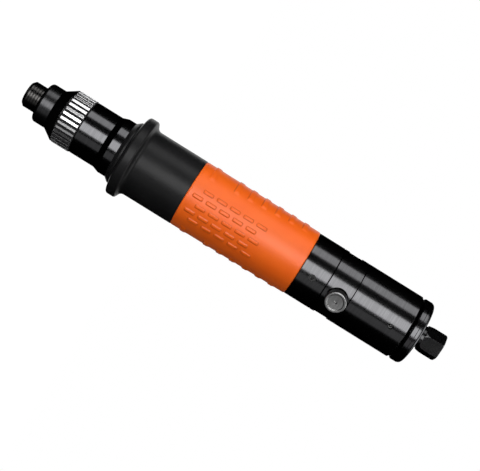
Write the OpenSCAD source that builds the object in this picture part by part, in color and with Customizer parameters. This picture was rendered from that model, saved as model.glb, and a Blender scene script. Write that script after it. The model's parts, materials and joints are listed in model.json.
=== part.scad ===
// Pneumatic push-start torque screwdriver with a shut-off clutch.
// The tool's axis is +Z: the bit holder's front face is at z = 0 and the air inlet is at the top.
// The design meridian, which carries the grip's dash panel and the set screw, faces -Y.

/* [Bit holder] */
// Across flats of the hexagonal bit socket
bit_af = 6.45; // [6.35:0.05:8]
// Depth of the bit socket from the spindle's front face
bit_depth = 21; // [17:0.5:24]
// Wall between the socket's corners and the spindle's outside
chuck_wall = 1.7; // [1.5:0.1:2.2]
// Radius of a lock ball
lock_ball_r = 1.5; // [1.25:0.05:1.75]
// Travel of the bit sleeve when it is pulled forward
sleeve_travel = 2.5; // [2:0.1:3]
// Length of the bit sleeve
sleeve_len = 15; // [14:0.5:16]
// Wall of the bit sleeve over the lock balls
sleeve_wall = 1.1; // [0.9:0.05:1.5]
// Pitch of the fine grooves round the bit sleeve
sleeve_groove_pitch = 1.9; // [1.6:0.1:2.4]

/* [Spindle] */
// Travel of the spindle when the bit is pushed onto a screw
push_travel = 3; // [2:0.25:3.5]
// Radius of the spindle's shaft
spindle_r = 5; // [4.8:0.1:5.2]
// Across flats of the spindle's hexagonal rear end
spindle_af = 8; // [7:0.1:8.4]
// Length of the spindle bush
bush_len = 6.9; // [5:0.1:8]

/* [Nose and torque ring] */
// Where the nose cap begins, behind the sleeve's visible part
nose_z = 9.3; // [8:0.1:10]
// Radius of the nose cap's collar
collar_r = 11.75; // [11:0.05:12.5]
// Length of the nose cap's collar
collar_len = 8.5; // [7:0.1:10]
// Length of the nose cap's cone
cone_len = 6.2; // [5:0.1:8]
// Outer radius of the torque adjusting ring
ring_r = 16; // [15:0.1:17]
// Length of the torque adjusting ring
ring_len = 12.2; // [11:0.1:14]
// Flutes round the adjusting ring
flutes = 34; // [24:1:40]
// Depth of a flute
flute_depth = 0.75; // [0.4:0.05:1]
// Lead of the adjusting thread for each turn
adjust_lead = 1.5; // [1:0.1:1.6]

/* [Clutch] */
// Bore of the clutch housing, as a radius
clutch_bore = 11; // [10.8:0.1:11.6]
// Wall of the clutch housing's front tube, inside the adjusting ring
front_tube_wall = 1.9; // [1.6:0.1:2]
// Outer radius of the clutch housing
clutch_r = 15.65; // [15.2:0.05:16.2]
// Outer radius of the clutch housing's rear shoulder
shoulder_r = 16.9; // [16.5:0.05:17]
// Free length kept for the clutch spring
spring_len = 10.6; // [9:0.1:13]
// Number of clutch balls
clutch_balls_n = 6; // [4:1:8]
// Radius of a clutch ball
clutch_ball_r = 1.6; // [1.3:0.05:1.9]

/* [Gear train] */
// Gear module
gear_m = 0.6; // [0.5:0.01:0.64]
// Teeth on each sun
sun_n = 12; // [12:3:12]
// Teeth on each planet
planet_n = 15; // [15:3:15]
// Face width of the second stage's planets
face_2 = 7.6; // [6:0.1:9]
// Face width of the first stage's planets
face_1 = 5.8; // [4.5:0.1:7]
// Wall of the gear case behind the ring gear's teeth
case_wall = 1.89; // [1.5:0.05:2.4]

/* [Motor] */
// Length of the rotor's body
rotor_len = 54.6; // [40:0.5:70]
// Radius of the rotor's body
rotor_r = 10.8; // [10:0.1:11.2]
// Vanes in the rotor
vanes_n = 5; // [4:1:6]
// Radius of the push rod
rod_r = 1.25; // [1:0.05:1.4]

/* [Grip] */
// Wall of the motor housing tube
tube_wall = 1.8; // [1.5:0.1:2.2]
// Wall of the front grip's body
grip_wall = 2.75; // [2:0.05:3.5]
// Wall of the orange grip sleeve at its front and at its rear
sleeve_walls = [2.7, 2.25]; // [1.8:0.05:3.2]
// Length of the front grip
front_grip_len = 43.5; // [38:0.5:50]
// Height of the hand flange above the grip's body
flange_rise = 4.15; // [3:0.05:6]
// Height of the raised dashes and ribs
pad_rise = 0.45; // [0.3:0.05:0.7]
// Pitch of the dashes and ribs along the grip
pad_pitch = 8.3; // [8:0.05:9]

/* [Rear body] */
// Outer diameter of the rear body
rear_d = 38; // [37:0.1:46]
// Length of the rear coupling's collar
coupling_len = 16.3; // [14:0.1:20]
// Length of the reverse block's body
block_len = 15.3; // [15:0.1:20]
// Length of the rear housing
housing_len = 34.4; // [30:0.1:50]
// Width of the exhaust groove
groove_w = 2.8; // [2:0.1:4]
// Length of the end cap's rim
cap_len = 5; // [4:0.1:8]
// Wall of the rear housing
rear_wall = 4; // [3:0.1:5]

/* [Reverse button] */
// Diameter of the button's head
button_d = 12; // [10:0.1:12]
// How far the button's face stands out of the body at rest
button_proud = 5.4; // [4:0.1:7]
// Travel of the button
button_travel = 3.2; // [2:0.1:3.4]
// Turn of the button round the body from the design meridian
button_turn = 8.8; // [-20:0.1:20]
// Turn of the wrench flats round the body
flat_turn = -12.5; // [-45:0.5:45]
// Depth of the wrench flats
flat_depth = 0.6; // [0.3:0.05:1]

/* [Air inlet] */
// Across flats of the inlet's hexagon
inlet_af = 14; // [13:0.1:17]
// Radius of the female thread's wall
inlet_r = 4.3; // [4:0.05:4.8]
// Length of the female thread
thread_len = 13.5; // [10:0.5:15]
// Length of the inlet outside the end cap
inlet_out = 15.1; // [13:0.1:20]

/* [Hidden] */
$fn = 96;

// Clearances
run = 0.04;        // radial clearance of a running fit
fit = 0.03;        // radial clearance of a located fit within one body
face_gap = 0.1;    // gap between faces that turn on each other
side_gap = 0.2;    // side gap of gears in their carriers

// Bit holder
hex_r = bit_af / 2 / cos(30);
chuck_r = hex_r + chuck_wall;
ball_lift = 0.6;                       // outward travel of a lock ball
ball_bite = 0.5;                       // how far a ball stands into the socket
ramp = ball_lift / sleeve_travel;      // slope of the sleeve's inner cone
ball_c = bit_af / 2 - ball_bite + lock_ball_r;
ball_z = 9.6;
cone_r0 = ball_c + lock_ball_r / cos(atan(ramp)) + 0.06;
cone_front = ball_z - (cone_r0 - chuck_r - 0.06) / ramp;
cone_back = ball_z + sleeve_travel + 1;
sleeve_in = cone_r0 + ramp * (cone_back - ball_z);
sleeve_r = sleeve_in + sleeve_wall;
snap_z = 1.3;
snap_w = 0.8;
snap_r = chuck_r + 0.8;
spring_pocket_r = snap_r + 0.15;
stop_z = sleeve_len + face_gap;        // shoulder that the sleeve rests against
stop_len = 2.8;
stop_r = sleeve_r - 0.15;

// Nose cap and bush
counterbore_r = sleeve_r + 0.22;
counterbore_z = stop_z + stop_len + push_travel + 0.3;
collar_z = nose_z + collar_len;
ring_z = collar_z + cone_len;
bush_r = 7.5;
lip_z = counterbore_z + 0.8;
bush_z = lip_z + face_gap;
bush_end = bush_z + bush_len;
spigot_end = bush_end;
stop_ring_z = bush_end + face_gap;
stop_ring_w = 1;
stop_ring_r = spindle_r + 1.4;

// Torque adjustment
tube_front_r = clutch_bore + front_tube_wall;
ring_end = ring_z + ring_len;
channel_z = bush_end - 0.4;
channel_r = tube_front_r + 1.2;
nut_r_in = stop_ring_r + 0.6;
nut_travel = adjust_lead;              // one turn either way
nut_z = spigot_end + nut_travel + 0.6;
nut_len = 3;
lug_len = 2;
lug_w = 4;
lug_z = nut_z + 0.5;

// Clutch
spring_z = nut_z + nut_len + face_gap;
thrust_z = spring_z + spring_len + face_gap;
washer = 1;
thrust_len = 3.9;
driven_z = thrust_z + thrust_len + face_gap;
driven_len = 3.8;
plate_r = clutch_bore - 0.5;
plate_gap = 0.8;
drive_z = driven_z + driven_len + plate_gap;
drive_len = 3.2;
ball_plane = driven_z + driven_len + plate_gap / 2;
ball_pcr = 8;
seat_lip_z = drive_z + drive_len + 0.3;
seat_lip_len = 1;
out_bearing_z = seat_lip_z + seat_lip_len + face_gap;
out_bearing_len = 5;
shaft_r = 6;                           // bearing bore, and the drive shaft in it
out_bearing_r = 10.5;
housing_end = out_bearing_z + out_bearing_len + 0.6;
spindle_end = driven_z + driven_len + 2.3;
hub_r = spindle_af / 2 / cos(30) + 0.13;
hub_end = spindle_end + push_travel + 3.7;
drive_af = 9;

// Gear train, the same wheels in both stages
pressure = 25;
addendum = 0.8 * gear_m;
dedendum = 1.05 * gear_m;
backlash = 0.03;
ring_n = sun_n + 2 * planet_n;
orbit_r = gear_m * (sun_n + planet_n) / 2;
ring_tip_r = gear_m * ring_n / 2 - addendum;
case_r = gear_m * ring_n / 2 + dedendum + 0.03 + case_wall;
sun_tip_r = gear_m * sun_n / 2 + addendum;
carrier_r = ring_tip_r - 0.5;
pin_r = 1.5;
case_z = housing_end + 0.2;
case_lip = 0.8;
carrier2_z = case_z + case_lip + 0.3;
disc_front = 3.2;
disc_back = 2;
planet2_z = carrier2_z + disc_front + side_gap;
carrier2_back = planet2_z + face_2 + side_gap;
carrier2_end = carrier2_back + disc_back;
carrier1_z = carrier2_end + 0.6;
planet1_z = carrier1_z + disc_front + side_gap;
carrier1_back = planet1_z + face_1 + side_gap;
carrier1_end = carrier1_back + disc_back;
case_end = carrier1_end + 1.2;

// Motor
tube_in = case_r + 0.05;
tube_out = tube_in + tube_wall;
plate_z = case_end + face_gap;
bearing_len = 5;
bearing_r = 8;
journal_r = 4;
plate_lip = 0.8;
plate_web = 2;
plate_len = plate_lip + face_gap + bearing_len + plate_web;
liner_z = plate_z + plate_len;
rotor_z = liner_z + face_gap;
rotor_end = rotor_z + rotor_len;
liner_end = rotor_end + face_gap;
liner_in = rotor_r + 1.4;
liner_shift = liner_in - rotor_r - 0.1;
slot_root = 5.2;
vane_w = 1.5;
manifold_z = liner_end + plate_len;
manifold_len = 6;
manifold_end = manifold_z + manifold_len;
rod_bore = rod_r + 0.3;
port_r = 10.5;

// Grip
grip_z = seat_lip_z + 3.2;
front_grip_end = grip_z + front_grip_len;
coupling_spigot = 8.4;
grip_end = manifold_end + coupling_spigot;
grip_in = tube_out + 0.05;
grip_r = tube_out + grip_wall;
orange_r0 = tube_out + sleeve_walls[0];
orange_r1 = tube_out + sleeve_walls[1];
orange_len = grip_end - front_grip_end;

// Rear body
rear_r = rear_d / 2;
edge = 0.35;
coupling_z = grip_end;
block_z = coupling_z + coupling_len;
rear_z = block_z + block_len;
groove_z = rear_z + housing_len;
rim_z = groove_z + groove_w;
cap_end = rim_z + cap_len;
rear_in = rear_r - rear_wall;
spigot_r = rear_in - 1;
block_spigot = 5.6;
rear_spigot = 4;
rear_front_wall = rear_spigot + 1;
groove_depth = 1.1;
seat_z = rear_z + rear_front_wall;
seat_len = 6;
seat_end = seat_z + seat_len;
rod_end = seat_z - face_gap;
valve_r = 4.4;
valve_len = 2.2;
valve_stem_r = 1.9;
cap_spigot = 6.5;
cap_spigot_z = groove_z - cap_spigot;
silencer_z = seat_end + 0.3;
silencer_end = cap_spigot_z - 0.3;
set_screw_z = coupling_z + 7.9;
lock_pin_z = rear_z + 25.4;
seal_r = 0.75;
seal_depth = 2 * seal_r + 0.1;         // depth and half width of a seal's groove
seal_half = seal_r + 0.2;
coupling_seal_z = coupling_z - 4;
block_seal_z = block_z - 3;
cap_seal_z = groove_z - 3;

// Reverse button
button_z = block_z + 8.6;
button_r = button_d / 2;
button_well_r = button_r + 0.4;
button_face = rear_r + button_proud;
button_head = 5;
head_base = button_face - button_head;
well_floor = head_base - button_travel - 0.25;
spool_r = 3.4;
spool_in = 11.5;
spool_bore = spool_r + run;
spool_floor = 4.2;
stop_pin_r = 0.8;
stop_groove = 1.1;
stop_pin_at = spool_in + 1.9;
stop_pin_side = spool_r - stop_groove + stop_pin_r + 0.1;

// Air inlet
inlet_front = seat_end + face_gap;
inlet_end = cap_end + inlet_out;
inlet_tube_r = 7;
chamber_r = 5.6;
chamber_end = inlet_front + 13;
passage_r = 3.4;
thread_z = inlet_end - thread_len;
screen_r = 3.9;
screen_z = thread_z - 1.8;
hex_corner = inlet_af / 2 / cos(30);

// Points of an arc, from angle a0 to a1
function arc(c, r, a0, a1, n = 8) = [for (i = [0:n]) c + r * [cos(a0 + (a1 - a0) * i / n),
                                                             sin(a0 + (a1 - a0) * i / n)]];

// A turned piece: outline points are [radius, z]
module turned(points) {
    rotate_extrude() polygon(points);
}

// A plain ring between two heights
module ring(r_out, r_in, z0, z1) {
    turned([[r_in, z0], [r_out, z0], [r_out, z1], [r_in, z1]]);
}

// A hole or rod along Z
module rod(r, z0, z1) {
    translate([0, 0, z0]) cylinder(r = r, h = z1 - z0);
}

// A hexagonal prism along Z, with its flats facing +X and -X
module hex_rod(af, z0, z1) {
    translate([0, 0, z0]) rotate([0, 0, 30]) cylinder(r = af / 2 / cos(30), h = z1 - z0, $fn = 6);
}

// Places children with their +Z along a radius, at a height and an angle from the design meridian
module radial(z, turn, r = 0) {
    translate([0, 0, z]) rotate([0, 0, turn - 90]) translate([r, 0, 0]) rotate([0, 90, 0]) children();
}

// A coil spring with closed ends, between two heights
module coil_spring(mean_r, wire_r, z0, z1, turns) {
    sides = 6;
    steps = 16;
    close = 2 * wire_r * 1.06;
    open = (z1 - z0 - 2 * wire_r - 2 * close) / (turns - 2);
    n = round(turns * steps);
    pts = [for (i = [0:n]) let (u = i / steps, a = 360 * u,
               z = z0 + wire_r + (u < 1 ? u * close : u < turns - 1 ? close + (u - 1) * open
                                  : close + (turns - 2) * open + (u - turns + 1) * close))
           for (j = [0:sides - 1]) let (b = 360 * j / sides, r = mean_r + wire_r * cos(b))
               [r * cos(a), r * sin(a), z + wire_r * sin(b)]];
    walls = [for (i = [0:n - 1]) for (j = [0:sides - 1]) let (k = (j + 1) % sides)
             [i * sides + j, i * sides + k, (i + 1) * sides + k, (i + 1) * sides + j]];
    ends = [[for (j = [sides - 1:-1:0]) j], [for (j = [0:sides - 1]) n * sides + j]];
    polyhedron(pts, concat(walls, ends), convexity = 10);
}

// Involute wheel outline. The same outline, opened by the backlash, cuts the ring gear.
function involute(a) = tan(a) * 180 / PI - a;
function half_tooth(r, n, slack) = let (rp = gear_m * n / 2, rb = rp * cos(pressure))
    90 / n + involute(pressure) - involute(r > rb ? acos(rb / r) : 0) - slack / rp * 180 / PI;
function wheel_points(n, r_root, r_tip, slack, k = 4) = let (
        rb = gear_m * n / 2 * cos(pressure), r0 = max(r_root, rb + 0.001),
        radii = concat(r_root < r0 - 0.01 ? [r_root] : [], [for (i = [0:k]) r0 + (r_tip - r0) * i / k]))
    [for (t = [0:n - 1]) let (mid = 360 * t / n)
     for (p = concat([for (r = radii) [r, mid - half_tooth(r, n, slack)]],
                     [for (i = [len(radii) - 1:-1:0]) [radii[i], mid + half_tooth(radii[i], n, slack)]]))
     p[0] * [cos(p[1]), sin(p[1])]];

module wheel(n, z0, z1) {
    rp = gear_m * n / 2;
    translate([0, 0, z0]) linear_extrude(z1 - z0)
        polygon(wheel_points(n, rp - dedendum, rp + addendum, backlash));
}

// A ball bearing: outer ring, inner ring and balls, each ring with its groove
module ball_bearing(r_in, r_out, z0, width, n) {
    mid = (r_in + r_out) / 2;
    ball = (r_out - r_in) * 0.26;
    zc = z0 + width / 2;
    land = (r_out - r_in) * 0.3;
    difference() {
        union() {
            ring(r_out, r_out - land, z0, z0 + width);
            ring(r_in + land, r_in, z0, z0 + width);
        }
        translate([0, 0, zc]) rotate_extrude() translate([mid, 0]) circle(r = ball + 0.05, $fn = 48);
    }
    for (i = [0:n - 1]) rotate([0, 0, 360 * i / n]) translate([mid, 0, zc]) sphere(r = ball, $fn = 48);
}

// Quick-change sleeve: pulled forward, its inner cone lets the balls out of the bit's groove
module bit_sleeve() {
    pocket_end = 7;
    groove = 0.22;
    color("#1b1b1c") turned(concat(
        [[spring_pocket_r, 0.9], [chuck_r + 0.38, 0.9], [chuck_r + 0.38, 0], [sleeve_r - 1.6, 0],
         [sleeve_r, 1.6]],
        [for (i = [0:3]) for (p = [[0, 0], [-groove, 0.2], [-groove, 0.4], [0, 0.6]])
            [sleeve_r + p[0], 2.6 + i * sleeve_groove_pitch + p[1]]],
        [[sleeve_r, sleeve_len - 0.4], [sleeve_r - 0.4, sleeve_len], [sleeve_in, sleeve_len],
         [sleeve_in, cone_back], [chuck_r + 0.06, cone_front], [chuck_r + 0.06, pocket_end],
         [spring_pocket_r, pocket_end]]));
}

module sleeve_spring() {
    color("silver") coil_spring(chuck_r + 0.48, 0.32, snap_z + snap_w + 0.05, 6.95, 5);
}

module sleeve_snap_ring() {
    color("dimgray") ring(snap_r, chuck_r - 0.45, snap_z, snap_z + snap_w);
}

module lock_ball(side) {
    color("silver") translate([side * ball_c, 0, ball_z]) sphere(r = lock_ball_r, $fn = 48);
}

// Output spindle: hexagonal socket in front, sliding hexagon behind
module spindle() {
    hex_z = driven_z - push_travel - 0.5;
    groove_r = spindle_r - 0.5;
    color("#2a2a2c") difference() {
        union() {
            turned([[0, 0.3], [chuck_r - 0.4, 0.3], [chuck_r, 0.7], [chuck_r, snap_z - 0.02],
                    [chuck_r - 0.5, snap_z - 0.02], [chuck_r - 0.5, snap_z + snap_w + 0.02],
                    [chuck_r, snap_z + snap_w + 0.02], [chuck_r, stop_z], [stop_r - 0.3, stop_z],
                    [stop_r, stop_z + 0.3], [stop_r, stop_z + stop_len], [spindle_r, stop_z + stop_len],
                    [spindle_r, stop_ring_z - 0.02], [groove_r, stop_ring_z - 0.02],
                    [groove_r, stop_ring_z + stop_ring_w + 0.02],
                    [spindle_r, stop_ring_z + stop_ring_w + 0.02], [spindle_r, hex_z], [0, hex_z]]);
            hex_rod(spindle_af, hex_z - 1, spindle_end);
        }
        hex_rod(bit_af, 0, bit_depth);
        for (side = [90, 270]) radial(ball_z, side) ball_seat();
    }
}

// Hole for a lock ball: straight outside, with a conical seat that keeps the ball in
module ball_seat() {
    r = lock_ball_r + 0.05;
    apex = ball_c - r * sqrt(2);
    start = apex + 0.6;
    turned([[0, start], [start - apex, start], [r, apex + r], [r, chuck_r + 1], [0, chuck_r + 1]]);
}

module spindle_stop_ring() {
    color("dimgray") ring(stop_ring_r, spindle_r - 0.45, stop_ring_z, stop_ring_z + stop_ring_w);
}

module spindle_bush() {
    color("#b08d57") ring(bush_r, spindle_r + run, bush_z, bush_end);
}

// Collar, cone and rear spigot that closes the adjusting ring in
module nose_cap() {
    round_r = 2.2;
    color("#18181a") turned(concat(
        [[counterbore_r, nose_z + 0.3], [counterbore_r + 0.3, nose_z]],
        arc([collar_r - round_r, nose_z + round_r], round_r, -90, 0),
        [[collar_r, collar_z], [ring_r - 0.2, ring_z - 0.2], [ring_r - 0.2, ring_z],
         [clutch_bore - fit, ring_z], [clutch_bore - fit, spigot_end], [bush_r + fit, spigot_end],
         [bush_r + fit, lip_z], [stop_ring_r, lip_z], [stop_ring_r, counterbore_z],
         [counterbore_r, counterbore_z]]));
}

// Outline of the fluted ring: a flat land and a trapezoid groove for each flute
function flute_points(r) = let (pitch = 360 / flutes)
    [for (i = [0:flutes - 1])
     for (p = [[r, -0.30], [r, 0.14], [r - flute_depth, 0.28], [r - flute_depth, 0.56]])
     p[0] * [cos((i + p[1]) * pitch), sin((i + p[1]) * pitch)]];

module adjusting_ring() {
    z0 = ring_z + face_gap;
    z1 = ring_end - face_gap;
    bevel = 0.7;
    color("gainsboro") difference() {
        intersection() {
            translate([0, 0, z0]) linear_extrude(z1 - z0) polygon(flute_points(ring_r));
            turned([[0, z0], [ring_r - bevel, z0], [ring_r + 0.05, z0 + bevel],
                    [ring_r + 0.05, z1 - bevel], [ring_r - bevel, z1], [0, z1]]);
        }
        rod(tube_front_r + 0.05, z0 - 1, z1 + 1);
        rod(channel_r, channel_z, z1 + 1);
    }
}

// Spring seat: its lugs reach through the housing's slots into the ring's thread
module adjusting_nut() {
    color("#8d8f92") union() {
        ring(clutch_bore - 0.08, nut_r_in, nut_z, nut_z + nut_len);
        for (side = [0, 180]) rotate([0, 0, side]) translate([clutch_bore - 2, -lug_w / 2, lug_z])
            cube([channel_r - 0.2 - clutch_bore + 2, lug_w, lug_len]);
    }
}

module clutch_spring() {
    wire = 1;
    color("silver") coil_spring(clutch_bore - 0.35 - wire, wire, spring_z, spring_z + spring_len, 4.5);
}

module thrust_bearing() {
    r_in = spindle_r + 1.2;
    ball = (thrust_len - 2 * washer) / 2 - 0.02;
    mid = (r_in + plate_r) / 2;
    zc = thrust_z + thrust_len / 2;
    color("lightsteelblue") {
        ring(clutch_bore - 0.1, r_in, thrust_z, thrust_z + washer);
        ring(clutch_bore - 0.1, r_in, thrust_z + thrust_len - washer, thrust_z + thrust_len);
        for (i = [0:11]) rotate([0, 0, 30 * i]) translate([mid, 0, zc]) sphere(r = ball, $fn = 32);
    }
}

// Ball pockets and balls of the clutch stand on one circle
module clutch_ball_set(grow) {
    for (i = [0:clutch_balls_n - 1]) rotate([0, 0, 360 * i / clutch_balls_n])
        translate([ball_pcr, 0, ball_plane]) sphere(r = clutch_ball_r + grow, $fn = 48);
}

module clutch_driven_plate() {
    color("slategray") difference() {
        ring(plate_r, spindle_r - 1.6, driven_z, driven_z + driven_len);
        hex_rod(spindle_af + 0.1, driven_z - 1, driven_z + driven_len + 1);
        clutch_ball_set(0.05);
    }
}

module clutch_balls() {
    color("silver") clutch_ball_set(0);
}

module clutch_drive_plate() {
    color("slategray") difference() {
        union() {
            turned([[hub_r, drive_z], [plate_r, drive_z], [plate_r, drive_z + drive_len],
                    [shaft_r - 0.02, drive_z + drive_len], [shaft_r - 0.02, carrier2_z - 0.1],
                    [rod_bore, carrier2_z - 0.1], [rod_bore, hub_end], [hub_r, hub_end]]);
            difference() {
                hex_rod(drive_af, hub_end + 0.5, carrier2_z + disc_front - 0.1);
                rod(rod_bore, hub_end, carrier2_z + disc_front);
            }
        }
        clutch_ball_set(0.05);
    }
}

module return_spring() {
    color("silver") coil_spring(3.3, 0.35, spindle_end + 0.05, hub_end - 0.05, 6);
}

// Clutch housing: slotted front tube, body with a rear shoulder, bearing seat and spigot
module clutch_housing() {
    taper_z = ring_end + 15.4;
    slot_z = lug_z - nut_travel - 0.3;
    slot_len = lug_len + 2 * nut_travel + 0.6;
    color("#151517") difference() {
        turned([[clutch_bore, ring_z], [tube_front_r, ring_z], [tube_front_r, ring_end],
                [clutch_r - edge, ring_end], [clutch_r, ring_end + edge], [clutch_r, taper_z],
                [shoulder_r, taper_z + 3.6], [shoulder_r, grip_z], [tube_in - fit, grip_z],
                [tube_in - fit, housing_end], [out_bearing_r + fit, housing_end],
                [out_bearing_r + fit, seat_lip_z + seat_lip_len],
                [out_bearing_r - 1.5, seat_lip_z + seat_lip_len], [out_bearing_r - 1.5, seat_lip_z],
                [clutch_bore, seat_lip_z]]);
        for (side = [0, 180]) rotate([0, 0, side])
            translate([clutch_bore - 1, -lug_w / 2 - 0.15, slot_z]) cube([4, lug_w + 0.3, slot_len]);
    }
}

module output_bearing() {
    color("lightsteelblue") ball_bearing(shaft_r, out_bearing_r, out_bearing_z, out_bearing_len, 12);
}

// Ring gear for both stages
module gear_case() {
    rp = gear_m * ring_n / 2;
    color("#707378") difference() {
        rod(case_r, case_z, case_end);
        rod(out_bearing_r - 1, case_z - 1, case_end);
        translate([0, 0, case_z + case_lip]) linear_extrude(case_end)
            polygon(wheel_points(ring_n, ring_tip_r, rp + dedendum + 0.03, -backlash));
    }
}

// Planet cage: two discs and three pillars, with a hole for each planet's pin
module carrier(z0, z_back, z_end) {
    pillar_at = orbit_r + 0.9;
    difference() {
        union() {
            rod(carrier_r, z0, z0 + disc_front);
            rod(carrier_r, z_back, z_end);
            for (i = [0:2]) rotate([0, 0, 60 + 120 * i]) translate([pillar_at, 0, 0])
                rod(1.9, z0 + 1, z_end - 0.5);
        }
        for (i = [0:2]) rotate([0, 0, 120 * i]) translate([orbit_r, 0, 0])
            rod(pin_r + 0.02, z0 - 1, z_end + 1);
        rod(sun_tip_r + 0.4, z_back - 1, z_end + 1);
    }
}

module planet_pins(z0, z_end) {
    color("silver") for (i = [0:2]) rotate([0, 0, 120 * i]) translate([orbit_r, 0, 0])
        rod(pin_r, z0 + 0.3, z_end - 0.3);
}

module planet(i, z0, face) {
    color("#a9acb0") rotate([0, 0, 120 * i]) translate([orbit_r, 0, 0]) difference() {
        wheel(planet_n, z0, z0 + face);
        rod(pin_r + run, z0 - 1, z0 + face + 1);
    }
}

module stage2_carrier() {
    color("#8d8f92") difference() {
        carrier(carrier2_z, carrier2_back, carrier2_end);
        hex_rod(drive_af + 0.1, carrier2_z - 1, carrier2_z + disc_front + 1);
    }
}

// First-stage carrier with the second stage's sun on its front
module stage1_carrier() {
    color("#8d8f92") difference() {
        union() {
            carrier(carrier1_z, carrier1_back, carrier1_end);
            wheel(sun_n, planet2_z + side_gap, carrier1_z + 1);
        }
        rod(rod_bore, carrier2_z, carrier1_z + disc_front + 1);
    }
}

module front_end_plate() {
    color("#9a9ca0") turned([
        [bearing_r - 1.2, plate_z], [case_r, plate_z], [case_r, liner_z], [journal_r + 0.3, liner_z],
        [journal_r + 0.3, liner_z - plate_web], [bearing_r + 0.02, liner_z - plate_web],
        [bearing_r + 0.02, plate_z + plate_lip], [bearing_r - 1.2, plate_z + plate_lip]]);
}

module rear_end_plate() {
    color("#9a9ca0") difference() {
        turned([
            [journal_r + 0.3, liner_end], [case_r, liner_end], [case_r, manifold_z - 0.05],
            [bearing_r + 0.02, manifold_z - 0.05], [bearing_r + 0.02, liner_end + plate_web],
            [journal_r + 0.3, liner_end + plate_web]]);
        for (turn = [50, 130, 230, 310]) rotate([0, 0, turn]) translate([port_r + 1, 0, 0])
            rod(1.3, liner_end - 1, manifold_z + 1);
    }
}

module front_rotor_bearing() {
    color("lightsteelblue") ball_bearing(journal_r, bearing_r, liner_z - plate_web - bearing_len - 0.05,
                                         bearing_len, 9);
}

module rear_rotor_bearing() {
    color("lightsteelblue") ball_bearing(journal_r, bearing_r, liner_end + plate_web + 0.05,
                                         bearing_len, 9);
}

// Rotor with its two journals and the first stage's sun in one piece
module rotor() {
    sun_z = planet1_z + side_gap;
    journal_z = liner_z - plate_web - bearing_len - 0.3;
    journal_end = liner_end + plate_web + bearing_len;
    color("#7b7e83") difference() {
        union() {
            wheel(sun_n, sun_z, journal_z + 0.1);
            rod(journal_r - 0.02, journal_z, journal_end);
            rod(rotor_r, rotor_z, rotor_end);
        }
        rod(rod_bore, sun_z - 1, journal_end + 1);
        for (i = [0:vanes_n - 1]) rotate([0, 0, 360 * i / vanes_n])
            translate([slot_root, -vane_w / 2 - 0.05, rotor_z - 1])
                cube([rotor_r, vane_w + 0.1, rotor_len + 2]);
    }
}

module vanes() {
    color("#6e4b2a") for (i = [0:vanes_n - 1]) rotate([0, 0, 360 * i / vanes_n])
        translate([slot_root + 0.05, -vane_w / 2, rotor_z + 0.05])
            cube([rotor_r - slot_root - 0.15, vane_w, rotor_len - 0.1]);
}

// Cylinder with its bore off centre, and a row of exhaust holes on the wide side
module cylinder_liner() {
    holes = 6;
    pitch = (rotor_len - 10) / (holes - 1);
    color("#85888c") difference() {
        rod(case_r, liner_z, liner_end);
        translate([liner_shift, 0, 0]) rod(liner_in, liner_z - 1, liner_end + 1);
        for (i = [0:holes - 1]) translate([0, 0, liner_z + 5 + i * pitch]) rotate([0, 90, 0])
            cylinder(r = 1.4, h = case_r + 2);
    }
}

module motor_housing() {
    color("#3a3b3e") ring(tube_out, tube_in, grip_z + 0.05, grip_end - 0.05);
}

module air_manifold() {
    color("#9a9ca0") difference() {
        ring(case_r, rod_bore, manifold_z, manifold_end);
        for (turn = [50, 130, 230, 310]) rotate([0, 0, turn]) translate([port_r + 1, 0, 0])
            rod(1.3, manifold_z - 1, manifold_end + 1);
        for (side = [90, 270]) rotate([0, 0, side]) translate([port_r, 0, 0])
            rod(1.8, manifold_z - 1, manifold_end + 1);
    }
}

module push_rod() {
    color("silver") rod(rod_r, spindle_end + 0.1, rod_end);
}

// Rubber front grip: lip, hand flange with a long fillet, and body
module front_grip() {
    lip_r = grip_r - 0.8;
    flange_r = grip_r + flange_rise;
    flange_z = grip_z + 3.3;
    fillet = 3.4;
    color("#222224") turned(concat(
        [[grip_in, grip_z + 0.05], [grip_in + 0.15, grip_z + 0.05]],
        [[lip_r, grip_z + 2.2], [lip_r, flange_z]],
        arc([flange_r - 3, flange_z + 3], 3, -70, 0, 6),
        arc([flange_r - 1.4, flange_z + 5.6], 1.4, 0, 60, 5),
        arc([grip_r + 0.1 + fillet, flange_z + 9.4 + fillet * 0.35], fillet, -120, -180, 7),
        [[grip_r, flange_z + 12], [grip_r, front_grip_end - 0.15], [grip_r - 0.15, front_grip_end],
         [grip_in, front_grip_end]]));
}

// Outer radius of the orange sleeve at a height
function orange_r(z) = orange_r0 + (orange_r1 - orange_r0) * (z - front_grip_end) / orange_len;

// Outline of one raised dash: a slot shape, long side along the grip
function dash_points(len, w) = concat(arc([len / 2 - w / 2, 0], w / 2, -90, 90, 6),
                                      arc([w / 2 - len / 2, 0], w / 2, 90, 270, 6));

module dash(z, turn) {
    len = 5.6;
    width = 1.7;
    sunk = 0.7;
    radial(z, turn, orange_r(z) - sunk) linear_extrude(sunk + pad_rise)
        polygon(dash_points(len, width));
}

// Raised rib across the side of the grip, steep in front and sloping behind
module side_rib(z, start) {
    r = orange_r(z);
    rotate([0, 0, start - 90]) rotate_extrude(angle = 180 - 2 * start)
        polygon([[r - 0.7, z], [r + pad_rise - 0.1, z], [r + pad_rise, z + 0.3],
                 [r + pad_rise, z + 0.9], [r - 0.1, z + 3.6], [r - 0.7, z + 3.6]]);
}

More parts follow.
